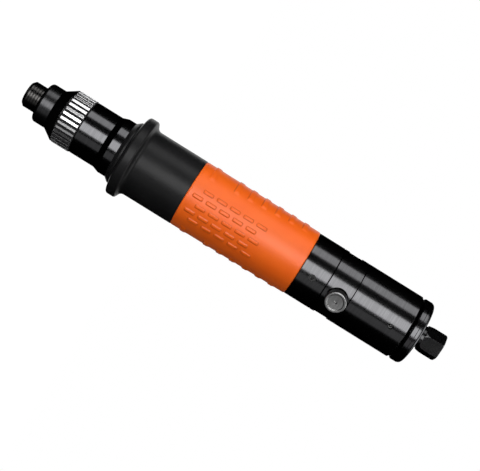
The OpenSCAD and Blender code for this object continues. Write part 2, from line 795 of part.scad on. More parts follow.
// Orange sleeve: a panel of dashes front and back, and ribs over both sides
module grip_sleeve() {
    z0 = front_grip_end + 0.05;
    z1 = grip_end - 0.05;
    row_turn = 13.1;
    rows = 5;
    per_row = 5;
    ribs = 6;
    color("#f26a21") union() {
        turned([[grip_in, z0], [orange_r0 - 0.25, z0], [orange_r0, z0 + 0.25],
                [orange_r1, z1 - 0.25], [orange_r1 - 0.25, z1], [grip_in, z1]]);
        for (panel = [0, 180], row = [0:rows - 1], k = [0:per_row - 1]) {
            stagger = row % 2 == 0 ? pad_pitch / 2 : 0;
            dash(z0 + 6.3 + stagger + k * pad_pitch, panel + (row - 2) * row_turn);
        }
        for (side = [0, 1]) mirror([side, 0, 0]) {
            side_rib(z0 + 6.2, 51);
            for (k = [0:ribs - 1]) side_rib(z0 + 21.1 + k * pad_pitch, 54 + 2.4 * k);
        }
    }
}

// Rear coupling: spigot screwed into the motor housing, collar outside, set screw on the meridian
module rear_coupling() {
    seal_z = coupling_seal_z;
    color("#161617") difference() {
        turned([[9, manifold_end + 0.1], [tube_in - fit, manifold_end + 0.1],
                [tube_in - fit, seal_z - seal_half], [tube_in - seal_depth, seal_z - seal_half],
                [tube_in - seal_depth, seal_z + seal_half], [tube_in - fit, seal_z + seal_half],
                [tube_in - fit, coupling_z], [rear_r - edge, coupling_z],
                [rear_r, coupling_z + edge], [rear_r, block_z - edge], [rear_r - edge, block_z],
                [spigot_r + fit, block_z], [spigot_r + fit, block_z - block_spigot - 0.1],
                [9, block_z - block_spigot - 0.1]]);
        radial(set_screw_z, 0, 8) cylinder(r = 2, h = rear_r);
    }
}

module set_screw() {
    socket_af = 2;
    len = rear_r - spigot_r + 1.2;
    color("#101010") radial(set_screw_z, 0, rear_r - 0.35 - len) difference() {
        cylinder(r = 1.95, h = len);
        translate([0, 0, len - 2]) cylinder(r = socket_af / 2 / cos(30), h = 3, $fn = 6);
    }
}

// Reverse block: wrench flats, button well and spool bore, passages for air and the push rod
module reverse_block() {
    flat_z = block_z + 2.7;
    flat_len = 8.3;
    color("#161617") difference() {
        turned([[rod_bore, block_z - block_spigot], [spigot_r, block_z - block_spigot],
                [spigot_r, block_seal_z - seal_half], [spigot_r - seal_depth, block_seal_z - seal_half],
                [spigot_r - seal_depth, block_seal_z + seal_half], [spigot_r, block_seal_z + seal_half],
                [spigot_r, block_z], [rear_r - edge, block_z], [rear_r, block_z + edge],
                [rear_r, rear_z - edge], [rear_r - edge, rear_z], [spigot_r, rear_z],
                [spigot_r, rear_z + rear_spigot], [rod_bore, rear_z + rear_spigot]]);
        for (side = [0, 180]) rotate([0, 0, flat_turn + side])
            translate([rear_r - flat_depth, -rear_r, flat_z]) cube([rear_r, 2 * rear_r, flat_len]);
        radial(button_z, button_turn, well_floor) cylinder(r = button_well_r, h = rear_r);
        radial(button_z, button_turn, spool_floor) cylinder(r = spool_bore, h = rear_r);
        for (i = [1:5]) rotate([0, 0, button_turn - 90 + 60 * i]) translate([port_r, 0, 0])
            rod(1.5, block_z - block_spigot - 1, rear_z + rear_spigot + 1);
        rotate([0, 0, button_turn - 90]) translate([stop_pin_at, stop_pin_side, 0])
            rod(stop_pin_r + fit, button_z - 4, rear_z + 1);
    }
}

// Button head and spool in one piece; the stop pin runs in the spool's groove
module reverse_button() {
    groove_from = stop_pin_at - stop_pin_r - 0.1;
    groove_to = stop_pin_at + stop_pin_r + button_travel + 0.15;
    neck_r = spool_r - stop_groove;
    dish = 0.35;
    color("#2b2b2d") radial(button_z, button_turn) turned([
        [0, spool_in], [spool_r - 0.3, spool_in], [spool_r, spool_in + 0.3], [spool_r, groove_from],
        [neck_r, groove_from], [neck_r, groove_to], [spool_r, groove_to], [spool_r, head_base],
        [button_r - 0.3, head_base], [button_r, head_base + 0.3], [button_r, button_face - 0.5],
        [button_r - 0.5, button_face], [button_r - 1.1, button_face],
        [button_r - 1.5, button_face - dish], [0.9, button_face - dish],
        [0, button_face - dish - 0.9]]);
}

module reverse_spring() {
    color("silver") radial(button_z, button_turn)
        coil_spring(2.6, 0.3, spool_floor + 0.05, spool_in - 0.05, 6);
}

module reverse_stop_pin() {
    color("silver") rotate([0, 0, button_turn - 90]) translate([stop_pin_at, stop_pin_side, 0])
        rod(stop_pin_r, button_z - 3.9, rear_z - 0.1);
}

module rear_housing() {
    color("#161617") difference() {
        turned([[spigot_r + fit, rear_z], [rear_r - edge, rear_z], [rear_r, rear_z + edge],
                [rear_r, groove_z - edge], [rear_r - edge, groove_z], [rear_in, groove_z],
                [rear_in, rear_z + rear_front_wall], [spigot_r + fit, rear_z + rear_front_wall]]);
        radial(lock_pin_z, 0, rear_in - 2) cylinder(r = 1.5, h = rear_r);
    }
}

// Throttle seat: centre hole for the valve's stem, outer holes for exhaust
module throttle_seat() {
    color("#b08d57") difference() {
        ring(rear_in - fit, valve_stem_r + 0.8, seat_z + 0.05, seat_end);
        for (i = [0:5]) rotate([0, 0, 60 * i]) translate([port_r, 0, 0])
            rod(1.6, seat_z - 1, seat_end + 1);
    }
}

module throttle_valve() {
    z = seat_end + face_gap;
    tail_r = 1.4;
    color("#3f4043") turned([
        [0, seat_z], [valve_stem_r - 0.3, seat_z], [valve_stem_r, seat_z + 0.3], [valve_stem_r, z],
        [valve_r, z], [valve_r, z + valve_len], [tail_r, z + valve_len], [tail_r, z + valve_len + 4],
        [0, z + valve_len + 4]]);
}

module throttle_spring() {
    color("silver") coil_spring(2.9, 0.4, seat_end + face_gap + valve_len + 0.05,
                                chamber_end - 0.05, 7);
}

module silencer() {
    color("#b9b2a0") ring(rear_in - 0.4, inlet_tube_r + 0.4, silencer_z, silencer_end);
}

module lock_pin() {
    color("#101010") radial(lock_pin_z, 0, rear_in - 0.2) cylinder(r = 1.45, h = 2.9);
}

// End cap: hollow spigot, exhaust groove with its ring of holes, rounded rim
module end_cap() {
    groove_r = rear_r - groove_depth;
    cup_r = rear_in - 2.5;
    round_r = 1.7;
    web_z = rim_z + 0.4;
    color("#161617") difference() {
        turned(concat(
            [[cup_r, cap_spigot_z], [rear_in - fit, cap_spigot_z],
             [rear_in - fit, cap_seal_z - seal_half], [rear_in - seal_depth, cap_seal_z - seal_half],
             [rear_in - seal_depth, cap_seal_z + seal_half], [rear_in - fit, cap_seal_z + seal_half],
             [rear_in - fit, groove_z], [groove_r, groove_z], [groove_r, rim_z],
             [rear_r - 0.25, rim_z], [rear_r, rim_z + 0.25]],
            arc([rear_r - round_r, cap_end - round_r], round_r, 0, 75, 6),
            [[rear_r - 1.5, cap_end], [inlet_tube_r + fit, cap_end], [inlet_tube_r + fit, web_z],
             [cup_r, web_z]]));
        for (i = [0:15]) radial(groove_z + groove_w / 2, 22.5 * i, cup_r - 1) cylinder(r = 0.8, h = 9);
    }
}

// Air inlet: valve chamber in front, female thread behind, hexagon outside
module air_inlet() {
    neck_r = inlet_tube_r - 0.4;
    neck_end = cap_end + 3.5;
    cone = 3.2;
    color("#161617") difference() {
        union() {
            turned([[0, inlet_front], [inlet_tube_r, inlet_front], [inlet_tube_r, cap_end - 0.1],
                    [neck_r, cap_end - 0.1], [neck_r, neck_end + 0.5], [0, neck_end + 0.5]]);
            intersection() {
                rotate([0, 0, 11]) hex_rod(inlet_af, neck_end, inlet_end);
                turned([[0, neck_end], [hex_corner - 0.7, neck_end],
                        [hex_corner + 0.02, neck_end + cone],
                        [hex_corner + 0.02, inlet_end - 0.8], [hex_corner - 0.6, inlet_end],
                        [0, inlet_end]]);
            }
        }
        rod(chamber_r, inlet_front - 1, chamber_end);
        rod(passage_r, chamber_end - 1, inlet_end + 1);
        rod(screen_r, screen_z, inlet_end + 1);
        rod(inlet_r, thread_z, inlet_end + 1);
    }
}

module inlet_screen() {
    color("silver") difference() {
        rod(screen_r - fit, screen_z + 0.02, screen_z + 0.8);
        for (x = [-2:2], y = [-2:2]) if (norm([x, y]) < 2.3) translate([x * 1.3, y * 1.3, 0])
            rod(0.4, screen_z - 1, screen_z + 2);
    }
}

// An O-ring in a groove, its outside just clear of the bore round it
module o_ring(bore, z) {
    translate([0, 0, z]) rotate_extrude() translate([bore - seal_r - fit, 0]) circle(r = seal_r, $fn = 32);
}

module seals() {
    color("black") {
        o_ring(tube_in, coupling_seal_z);
        o_ring(spigot_r + fit, block_seal_z);
        o_ring(rear_in, cap_seal_z);
    }
}

bit_sleeve();
sleeve_spring();
sleeve_snap_ring();
lock_ball(1);  // lock_ball_a
lock_ball(-1);  // lock_ball_b
spindle();
spindle_stop_ring();
spindle_bush();
nose_cap();
adjusting_ring();
adjusting_nut();
clutch_spring();
thrust_bearing();
clutch_driven_plate();
clutch_balls();
clutch_drive_plate();
return_spring();
clutch_housing();
output_bearing();
gear_case();
stage2_carrier();
planet_pins(carrier2_z, carrier2_end);  // stage2_pins
planet(0, planet2_z, face_2);  // stage2_planet_a
planet(1, planet2_z, face_2);  // stage2_planet_b
planet(2, planet2_z, face_2);  // stage2_planet_c
stage1_carrier();
planet_pins(carrier1_z, carrier1_end);  // stage1_pins
planet(0, planet1_z, face_1);  // stage1_planet_a
planet(1, planet1_z, face_1);  // stage1_planet_b
planet(2, planet1_z, face_1);  // stage1_planet_c
motor_housing();
front_end_plate();
front_rotor_bearing();
rotor();
vanes();
cylinder_liner();
rear_end_plate();
rear_rotor_bearing();
air_manifold();
push_rod();
front_grip();
grip_sleeve();
rear_coupling();
set_screw();
reverse_block();
reverse_button();
reverse_spring();
reverse_stop_pin();
rear_housing();
throttle_seat();
throttle_valve();
throttle_spring();
silencer();
lock_pin();
end_cap();
air_inlet();
inlet_screen();
seals();
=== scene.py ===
import json
import math

import bmesh
import bpy
from mathutils import Matrix, Vector


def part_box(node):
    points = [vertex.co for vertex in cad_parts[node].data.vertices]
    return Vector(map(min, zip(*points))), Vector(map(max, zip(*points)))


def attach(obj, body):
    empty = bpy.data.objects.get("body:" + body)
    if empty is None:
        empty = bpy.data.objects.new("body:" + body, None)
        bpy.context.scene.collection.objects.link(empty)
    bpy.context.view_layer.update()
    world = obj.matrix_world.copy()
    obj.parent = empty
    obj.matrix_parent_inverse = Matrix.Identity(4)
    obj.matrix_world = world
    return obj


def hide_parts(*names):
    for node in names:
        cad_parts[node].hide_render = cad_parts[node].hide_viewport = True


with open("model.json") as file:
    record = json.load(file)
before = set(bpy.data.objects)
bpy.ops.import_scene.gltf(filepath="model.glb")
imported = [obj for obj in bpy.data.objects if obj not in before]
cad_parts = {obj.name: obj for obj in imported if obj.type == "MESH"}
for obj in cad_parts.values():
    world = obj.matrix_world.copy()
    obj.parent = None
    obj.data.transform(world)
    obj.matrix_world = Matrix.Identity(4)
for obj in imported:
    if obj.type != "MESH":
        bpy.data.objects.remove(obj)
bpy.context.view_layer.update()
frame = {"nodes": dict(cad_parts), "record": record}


# Camera: level with the middle of the tool, square to its axis and turned a little round it,
# held rolled so that the bit holder points up and to the left.
MM = 0.001
LOOK_HEIGHT = 139.8 * MM
LOOK_ASIDE = 5.2 * MM
LOOK_DISTANCE = 0.688
LOOK_TURN = math.radians(-12.5)
LOOK_ROLL = math.radians(31.86)
LENS = 94.3

toward_camera = Vector((math.sin(LOOK_TURN), -math.cos(LOOK_TURN), 0))
beside_tool = Vector((math.cos(LOOK_TURN), math.sin(LOOK_TURN), 0))
along_tool = Vector((0, 0, 1))


def standing(x_axis, y_axis, z_axis, place):
    """Matrix of an object whose own axes point along the three given directions."""
    matrix = Matrix((x_axis, y_axis, z_axis)).transposed().to_4x4()
    matrix.translation = place
    return matrix


def add_object(name, data):
    item = bpy.data.objects.new(name, data)
    bpy.context.scene.collection.objects.link(item)
    return item


lens = bpy.data.cameras.new("bench_camera")
lens.lens = LENS
lens.sensor_width = 36
camera = add_object("bench_camera", lens)
camera.matrix_world = standing(
    math.cos(LOOK_ROLL) * along_tool - math.sin(LOOK_ROLL) * beside_tool,
    -math.sin(LOOK_ROLL) * along_tool - math.cos(LOOK_ROLL) * beside_tool,
    toward_camera,
    toward_camera * LOOK_DISTANCE + beside_tool * LOOK_ASIDE + along_tool * LOOK_HEIGHT,
)
bpy.context.scene.camera = camera
bpy.context.scene.view_settings.view_transform = "Standard"


# Studio: a white room and a white table top. What is seen directly, or in metal and glass,
# is paper white; the light that the room sheds on the tool is softer than that.
ROOM_LIGHT = 0.14
PAPER_GLOW = 0.93
TABLE_DROP = 340 * MM
TABLE_HALF = 6.0


def add_node(tree, kind, **settings):
    """A node of this kind: sockets are set by name or index, and anything else as an attribute."""
    made = tree.nodes.new(kind)
    for key, value in settings.items():
        if key in made.bl_rna.properties:
            setattr(made, key, value)
    for key, value in settings.items():
        if key in made.bl_rna.properties:
            continue
        target = made.inputs[int(key[1:])] if key[0] == "_" else made.inputs[key.replace("_", " ")]
        if isinstance(value, bpy.types.NodeSocket):
            tree.links.new(value, target)
        else:
            target.default_value = value
    return made


def seen_directly(tree):
    """1 for a ray that shows the background itself, straight or through metal and glass."""
    path = add_node(tree, "ShaderNodeLightPath")
    either = add_node(tree, "ShaderNodeMath", operation="MAXIMUM",
                      _0=path.outputs["Is Camera Ray"], _1=path.outputs["Is Glossy Ray"])
    return add_node(tree, "ShaderNodeMath", operation="MAXIMUM",
                    _0=either.outputs[0], _1=path.outputs["Is Transmission Ray"]).outputs[0]


room = bpy.data.worlds.new("white_room")
room.use_nodes = True
bpy.context.scene.world = room
strength = add_node(room.node_tree, "ShaderNodeMapRange", Value=seen_directly(room.node_tree),
                    To_Min=ROOM_LIGHT, To_Max=1.0)
background = room.node_tree.nodes["Background"]
background.inputs["Color"].default_value = (1, 1, 1, 1)
room.node_tree.links.new(strength.outputs[0], background.inputs["Strength"])

paper = bpy.data.materials.new("white_paper")
paper.use_nodes = True
tree = paper.node_tree
sheet = tree.nodes["Principled BSDF"]
sheet.inputs["Roughness"].default_value = 0.9
mottle = add_node(tree, "ShaderNodeTexNoise", Scale=40.0, Detail=4.0)
shade = add_node(tree, "ShaderNodeMapRange", Value=mottle.outputs["Fac"], To_Min=0.80, To_Max=0.84)
tree.links.new(shade.outputs[0], sheet.inputs["Base Color"])
glow = add_node(tree, "ShaderNodeEmission", Color=(1, 1, 1, 1), Strength=1.09)
amount = add_node(tree, "ShaderNodeMath", operation="MULTIPLY", _0=seen_directly(tree), _1=PAPER_GLOW)
both = add_node(tree, "ShaderNodeMixShader", Fac=amount.outputs[0],
                _1=sheet.outputs[0], _2=glow.outputs[0])
tree.links.new(both.outputs[0], tree.nodes["Material Output"].inputs["Surface"])

table_mesh = bpy.data.meshes.new("table_top")
table_mesh.from_pydata([(-TABLE_HALF, -TABLE_HALF, -TABLE_DROP), (TABLE_HALF, -TABLE_HALF, -TABLE_DROP),
                        (TABLE_HALF, TABLE_HALF, -TABLE_DROP), (-TABLE_HALF, TABLE_HALF, -TABLE_DROP)],
                       [], [(0, 1, 2, 3)])
table_mesh.materials.append(paper)
add_object("table_top", table_mesh)


# Lights: four soft boxes that only reflections show, behind the camera, on the tool's upper
# side, overhead and, dim, on its lower side. Two wide lamps, in front and behind, only fill in.
# A dark felt screen round the camera side and on the table, met by reflections alone, keeps
# black black.
LAMP_DISTANCE = 1.1
LAMPS = {
    "front_softbox": dict(turn=-1.5, width=0.66, height=1.5, radiance=5.4, mirrored=True),
    "upper_softbox": dict(turn=-62.0, width=0.56, height=1.5, radiance=2.7, mirrored=True),
    "overhead_softbox": dict(turn=0.0, rise=96.0, width=0.7, height=0.7, radiance=4.0, mirrored=True),
    "side_card": dict(turn=42.0, width=0.55, height=1.3, radiance=0.5, mirrored=True),
    "key_fill": dict(turn=-25.0, width=1.0, height=1.6, radiance=2.9),
    "back_fill": dict(turn=168.0, width=1.4, height=1.6, radiance=1.6),
}
SCREEN_RADIUS = 1.3
SCREEN_REACH = (-138.0, 166.0)
SCREEN_HALF_HEIGHT = 1.6
SCREEN_PANELS = 48
FELT_THICKNESS = 0.5 * MM


def from_tool(turn, rise=0.0):
    """Direction at this angle from the camera's, positive to the tool's lower side, and upward."""
    level = toward_camera * math.cos(turn) + beside_tool * math.sin(turn)
    return level * math.cos(rise) + along_tool * math.sin(rise)


for name, box in LAMPS.items():
    lamp = bpy.data.lights.new(name, "AREA")
    lamp.shape = "RECTANGLE"
    lamp.size, lamp.size_y = box["width"], box["height"]
    lamp.energy = box["radiance"] * math.pi * box["width"] * box["height"]
    away = from_tool(math.radians(box["turn"]), math.radians(box.get("rise", 0.0)))
    wide = along_tool.cross(away).normalized()
    stand = add_object(name, lamp)
    stand.matrix_world = standing(wide, away.cross(wide), away,
                                  away * LAMP_DISTANCE + along_tool * LOOK_HEIGHT)
    stand.visible_camera = False
    stand.visible_glossy = box.get("mirrored", False)
    stand.visible_diffuse = not stand.visible_glossy

felt = bpy.data.materials.new("black_felt")
felt.use_nodes = True
nap = add_node(felt.node_tree, "ShaderNodeTexNoise", Scale=300.0)
weave = add_node(felt.node_tree, "ShaderNodeMapRange", Value=nap.outputs["Fac"], To_Min=0.001, To_Max=0.003)
felt.node_tree.links.new(weave.outputs[0], felt.node_tree.nodes["Principled BSDF"].inputs["Base Color"])
felt.node_tree.nodes["Principled BSDF"].inputs["Specular IOR Level"].default_value = 0.0

edges = []
for step in range(SCREEN_PANELS + 1):
    turn = SCREEN_REACH[0] + (SCREEN_REACH[1] - SCREEN_REACH[0]) * step / SCREEN_PANELS
    way = from_tool(math.radians(turn)) * SCREEN_RADIUS
    edges += [way + along_tool * (LOOK_HEIGHT - SCREEN_HALF_HEIGHT),
              way + along_tool * (LOOK_HEIGHT + SCREEN_HALF_HEIGHT)]
sides = [(2 * i, 2 * i + 1, 2 * i + 3, 2 * i + 2) for i in range(SCREEN_PANELS)]
mat = [Vector((v.x, v.y, -TABLE_DROP + FELT_THICKNESS)) for v in edges[::2]]
on_table = [(len(edges), len(edges) + i + 1, len(edges) + i + 2) for i in range(SCREEN_PANELS)]
screen_mesh = bpy.data.meshes.new("felt_screen")
foot = Vector((0, 0, -TABLE_DROP + FELT_THICKNESS))
screen_mesh.from_pydata(edges + [foot] + mat, [], sides + on_table)
screen_mesh.materials.append(felt)
screen = add_object("felt_screen", screen_mesh)
screen.visible_camera = screen.visible_diffuse = screen.visible_shadow = False
screen.visible_transmission = screen.visible_volume_scatter = False


# Spindle and quick-change sleeve: turned steel, blackened in an oil bath, the sleeve with fine
# grip grooves. Two balls in the spindle hold the bit until the sleeve is drawn forward.
SLEEVE_R = 7.768
SLEEVE_END = 15.0
SLEEVE_GROOVES = 5
GROOVE_PITCH = 1.55
GROOVE_DEPTH = 0.14
nodes = frame["nodes"]


class Field:
    """A socket that can be written into sums, so that a rule for a surface reads as one."""

    def __init__(self, tree, socket):
        self.tree, self.socket = tree, socket

    def step(self, operation, *others):
        made = self.tree.nodes.new("ShaderNodeMath")
        made.operation = operation
        for slot_in, value in zip(made.inputs, (self, *others)):
            if isinstance(value, Field):
                self.tree.links.new(value.socket, slot_in)
            else:
                slot_in.default_value = value
        return Field(self.tree, made.outputs[0])

    def __add__(self, other): return self.step("ADD", other)
    def __sub__(self, other): return self.step("SUBTRACT", other)
    def __mul__(self, other): return self.step("MULTIPLY", other)
    def __truediv__(self, other): return self.step("DIVIDE", other)
    def above(self, other): return self.step("MAXIMUM", other)
    def below(self, other): return self.step("MINIMUM", other)
    def size(self): return self.step("ABSOLUTE")
    def whole(self): return self.step("ROUND")
    def root(self): return self.step("SQRT")

    def ramp(self, start, end, low=0.0, high=1.0):
        made = add_node(self.tree, "ShaderNodeMapRange", interpolation_type="SMOOTHSTEP",
                        _0=self.socket, _1=start, _2=end, _3=low, _4=high)
        return Field(self.tree, made.outputs[0])


def shader_group(name, inputs, outputs):
    """An empty shader node group with float inputs and outputs, and its object coordinates."""
    group = bpy.data.node_groups.new(name, "ShaderNodeTree")
    for title, value in inputs.items():
        group.interface.new_socket(title, in_out="INPUT", socket_type="NodeSocketFloat").default_value = value
    for title in outputs:
        group.interface.new_socket(title, in_out="OUTPUT", socket_type="NodeSocketFloat")
    into, out = group.nodes.new("NodeGroupInput"), group.nodes.new("NodeGroupOutput")
    given = {title: Field(group, into.outputs[title]) for title in inputs}
    place = add_node(group, "ShaderNodeTexCoord").outputs["Object"]
    return group, given, out, place


def noise(tree, place, scale, stretch=(1, 1, 1), detail=3.0):
    """Noise about 0.5 at this many features per metre, stretched along the axes."""
    mapping = add_node(tree, "ShaderNodeMapping", _0=place)
    mapping.inputs["Scale"].default_value = stretch
    made = add_node(tree, "ShaderNodeTexNoise", Vector=mapping.outputs[0], Detail=detail)
    if isinstance(scale, Field):
        tree.links.new(scale.socket, made.inputs["Scale"])
    else:
        made.inputs["Scale"].default_value = scale
    return Field(tree, made.outputs["Fac"])


# Tool marks left by a lathe: rings square to the tool's axis, closer or wider with the feed.
turning, given, out, place = shader_group("lathe_marks", {"Feed": 2600.0, "Unevenness": 0.5}, ["Height"])
rings = noise(turning, place, given["Feed"], (0.012, 0.012, 1), 2.0)
patches = noise(turning, place, 120.0)
turning.links.new((rings * (patches * given["Unevenness"] + 0.6)).socket, out.inputs["Height"])

# Handling: faint greasy smears, and fine dust that settles in specks.
handling, given, out, place = shader_group("handling", {"Smear": 0.5, "Dust": 0.3}, ["Smears", "Specks"])
smears = noise(handling, place, 55.0, (1, 1, 0.35), 5.0).ramp(0.42, 0.72) * given["Smear"]
specks = noise(handling, place, 2600.0, detail=1.0).ramp(0.66, 0.8) * given["Dust"]
handling.links.new(smears.socket, out.inputs["Smears"])
handling.links.new(specks.socket, out.inputs["Specks"])

# Edge wear: where a fine rounding of every edge would turn the surface, the finish rubs thin.
rubbing, given, out, place = shader_group("edge_rub", {"Reach": 0.0003, "Amount": 0.5}, ["Worn"])
eased = add_node(rubbing, "ShaderNodeBevel", samples=4, Radius=given["Reach"].socket)
straight = add_node(rubbing, "ShaderNodeNewGeometry")
turned_by = add_node(rubbing, "ShaderNodeVectorMath", operation="DOT_PRODUCT",
                     _0=eased.outputs[0], _1=straight.outputs["Normal"])
bare = (Field(rubbing, turned_by.outputs["Value"]) * -1 + 1).ramp(0.02, 0.12)
broken = noise(rubbing, place, 900.0, detail=4.0).ramp(0.4, 0.62)
rubbing.links.new((bare * broken * given["Amount"]).socket, out.inputs["Worn"])


def use_group(material, group, **inputs):
    made = material.node_tree.nodes.new("ShaderNodeGroup")
    made.node_tree = group
    for title, value in inputs.items():
        made.inputs[title].default_value = value
    return {output.name: Field(material.node_tree, output) for output in made.outputs}


def two_tone(tree, share, first, second):
    """Colour socket that runs from the first colour to the second with the share."""
    made = add_node(tree, "ShaderNodeMix", data_type="RGBA")
    tree.links.new(share.socket, made.inputs[0])
    made.inputs[6].default_value, made.inputs[7].default_value = (*first, 1), (*second, 1)
    return made.outputs[2]


def bump(tree, height, distance, strength=1.0):
    made = add_node(tree, "ShaderNodeBump", Strength=strength, Distance=distance)
    tree.links.new(height.socket, made.inputs["Height"])
    return made.outputs[0]


def blank(name):
    """A new material with its node tree and its Principled shader."""
    material = bpy.data.materials.new(name)
    material.use_nodes = True
    return material, material.node_tree, material.node_tree.nodes["Principled BSDF"]


def metal(name, colour, roughness, feed=2600.0, marks=0.000004, smear=0.4, worn=0.3,
          rub=(0.30, 0.29, 0.28), rim=(1, 1, 1), dust=0.15):
    """Turned metal: lathe marks, smears that change the gloss, and edges rubbed to bare metal."""
    material, tree, shader = blank(name)
    lathe_marks = use_group(material, turning, Feed=feed)
    hands = use_group(material, handling, Smear=smear, Dust=dust)
    edge = use_group(material, rubbing, Amount=worn)
    deeper = tuple(c * 0.8 for c in colour)
    coat = two_tone(tree, lathe_marks["Height"].ramp(0.3, 0.7), deeper, colour)
    mixed = add_node(tree, "ShaderNodeMix", data_type="RGBA")
    tree.links.new(edge["Worn"].socket, mixed.inputs[0])
    tree.links.new(coat, mixed.inputs[6])
    mixed.inputs[7].default_value = (*rub, 1)
    tree.links.new(mixed.outputs[2], shader.inputs["Base Color"])
    dull = hands["Smears"] * 0.12 + hands["Specks"] * 0.3 + roughness
    tree.links.new(dull.socket, shader.inputs["Roughness"])
    tree.links.new(bump(tree, lathe_marks["Height"], marks), shader.inputs["Normal"])
    shader.inputs["Metallic"].default_value = 1.0
    shader.inputs["Specular Tint"].default_value = (*rim, 1)
    return material


blackened_steel = metal("blackened_steel", (0.060, 0.058, 0.056), 0.24, rim=(0, 0, 0), worn=0.25)


def rounded(points, step=math.radians(15)):
    """Closed outline with an arc wherever a point has a third number, its radius."""
    line = []
    for i, point in enumerate(points):
        here = Vector(point[:2])
        if len(point) < 3:
            line.append(here)
            continue
        back = (Vector(points[i - 1][:2]) - here).normalized()
        ahead = (Vector(points[(i + 1) % len(points)][:2]) - here).normalized()
        half = back.angle(ahead) / 2
        centre = here + (back + ahead).normalized() * point[2] / math.sin(half)
        start = here + back * point[2] / math.tan(half) - centre
        sweep = start.angle_signed(here + ahead * point[2] / math.tan(half) - centre)
        count = max(2, math.ceil(abs(sweep) / step))
        for k in range(count + 1):
            a = -sweep * k / count
            line.append(centre + Vector((start.x * math.cos(a) - start.y * math.sin(a),
                                         start.x * math.sin(a) + start.y * math.cos(a))))
    return line


def shaded(mesh, sharp=math.radians(28)):
    """Smooth faces, hard edges past the angle, and flat faces kept flat beside their roundings."""
    mesh.shade_smooth()
    mesh.set_sharp_from_angle(angle=sharp)
    carrier = add_object("carrier", mesh)
    weights = carrier.modifiers.new("flat_faces", "WEIGHTED_NORMAL")
    weights.keep_sharp = True
    made = bpy.data.meshes.new_from_object(
        carrier.evaluated_get(bpy.context.evaluated_depsgraph_get()))
    bpy.data.objects.remove(carrier)
    return made


def lathe(outline, turns=144, place=Matrix()):
    """Mesh turned from a closed outline of (radius, height) in millimetres."""
    build = bmesh.new()
    rings_made = []
    for j in range(turns):
        a = 2 * math.pi * j / turns
        rings_made.append([build.verts.new((p.x * math.cos(a) * MM, p.x * math.sin(a) * MM, p.y * MM))
                           for p in outline])
    for j in range(turns):
        one, two = rings_made[j], rings_made[(j + 1) % turns]
        for k in range(len(outline)):
            m = (k + 1) % len(outline)
            build.faces.new((one[k], one[m], two[m], two[k]))
    bmesh.ops.remove_doubles(build, verts=build.verts, dist=1e-7)
    bmesh.ops.dissolve_degenerate(build, edges=build.edges, dist=1e-8)
    bmesh.ops.recalc_face_normals(build, faces=build.faces)
    mesh = bpy.data.meshes.new("turned")
    build.to_mesh(mesh)
    build.free()
    mesh.transform(place)
    return shaded(mesh)


def fit(name, mesh, material, body, slot, *stands_for):
    """Puts a finished mesh in the scene as a piece that rides on its body."""
    mesh.name = name
    mesh.materials.clear()
    mesh.materials.append(material)
    piece = add_object(name, mesh)
    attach(piece, body)
    if stands_for:
        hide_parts(*stands_for)
    return piece


outer = [(5.8, 0, 0.12), (SLEEVE_R - 1.5, 0, 0.5), (SLEEVE_R, 1.5, 0.5)]
for i in range(SLEEVE_GROOVES):
    z = 2.5 + i * GROOVE_PITCH
    outer += [(SLEEVE_R, z, 0.1), (SLEEVE_R - GROOVE_DEPTH, z + 0.22, 0.08),
              (SLEEVE_R - GROOVE_DEPTH, z + 0.38, 0.08),
              (SLEEVE_R, z + 0.6, 0.1)]
bore = [(6.668, SLEEVE_END, 0.1), (6.668, 13.1), (5.484, 8.168), (5.484, 7), (6.374, 7), (6.374, 0.9),
        (5.804, 0.9)]
fit("knurled_sleeve", lathe(rounded(outer + [(SLEEVE_R, SLEEVE_END, 0.3)] + bore)), blackened_steel,
    "bit_sleeve", "blackened_steel", "bit_sleeve")
nodes["spindle"].material_slots[0].material = blackened_steel


# Nose cap: turned steel, black, screwed into the clutch housing. The spindle's bush sits in it.
nose_black = metal("nose_black", (0.058, 0.058, 0.060), 0.27, rim=(0, 0, 0), worn=0.25)
fit("nose_cap_turned", lathe(rounded([
    (7.988, 9.3, 0.25), (11.75, 9.3, 1.9), (11.75, 17.8, 0.35), (15.8, 23.85, 0.15), (15.8, 24), (10.97, 24),
    (10.97, 29, 0.2), (7.53, 29), (7.53, 22), (6.4, 22), (6.4, 21.2), (7.988, 21.2)])),
    nose_black, "housing", "black_oxide", "nose_cap")


# Torque ring: steel, fluted for the fingers and satin plated. The flutes are black below the lands, by their
# depth.
RING_R = 16.0
RING_FRONT, RING_BACK = 24.1, 36.1
FLUTES = 34
FLUTE_DEPTH = 0.75


def growing_tree(name, **inputs):
    """A Geometry Nodes tree with a mesh input and these named sizes."""
    tree = bpy.data.node_groups.new(name, "GeometryNodeTree")
    tree.interface.new_socket("Mesh", in_out="INPUT", socket_type="NodeSocketGeometry")
    for title, value in inputs.items():
        kind = {int: "NodeSocketInt", float: "NodeSocketFloat"}.get(type(value), "NodeSocketMaterial")
        tree.interface.new_socket(title, in_out="INPUT", socket_type=kind)
    tree.interface.new_socket("Mesh", in_out="OUTPUT", socket_type="NodeSocketGeometry")
    return tree, tree.nodes.new("NodeGroupInput"), tree.nodes.new("NodeGroupOutput")


def grown(mesh, tree, **values):
    """Plain mesh that the tree makes of this one."""
    carrier = add_object("carrier", mesh)
    modifier = carrier.modifiers.new("growth", "NODES")
    modifier.node_group = tree
    for item in tree.interface.items_tree:
        if item.in_out == "INPUT" and item.name in values:
            modifier[item.identifier] = values[item.name]
    made = bpy.data.meshes.new_from_object(
        carrier.evaluated_get(bpy.context.evaluated_depsgraph_get()))
    bpy.data.objects.remove(carrier)
    return made


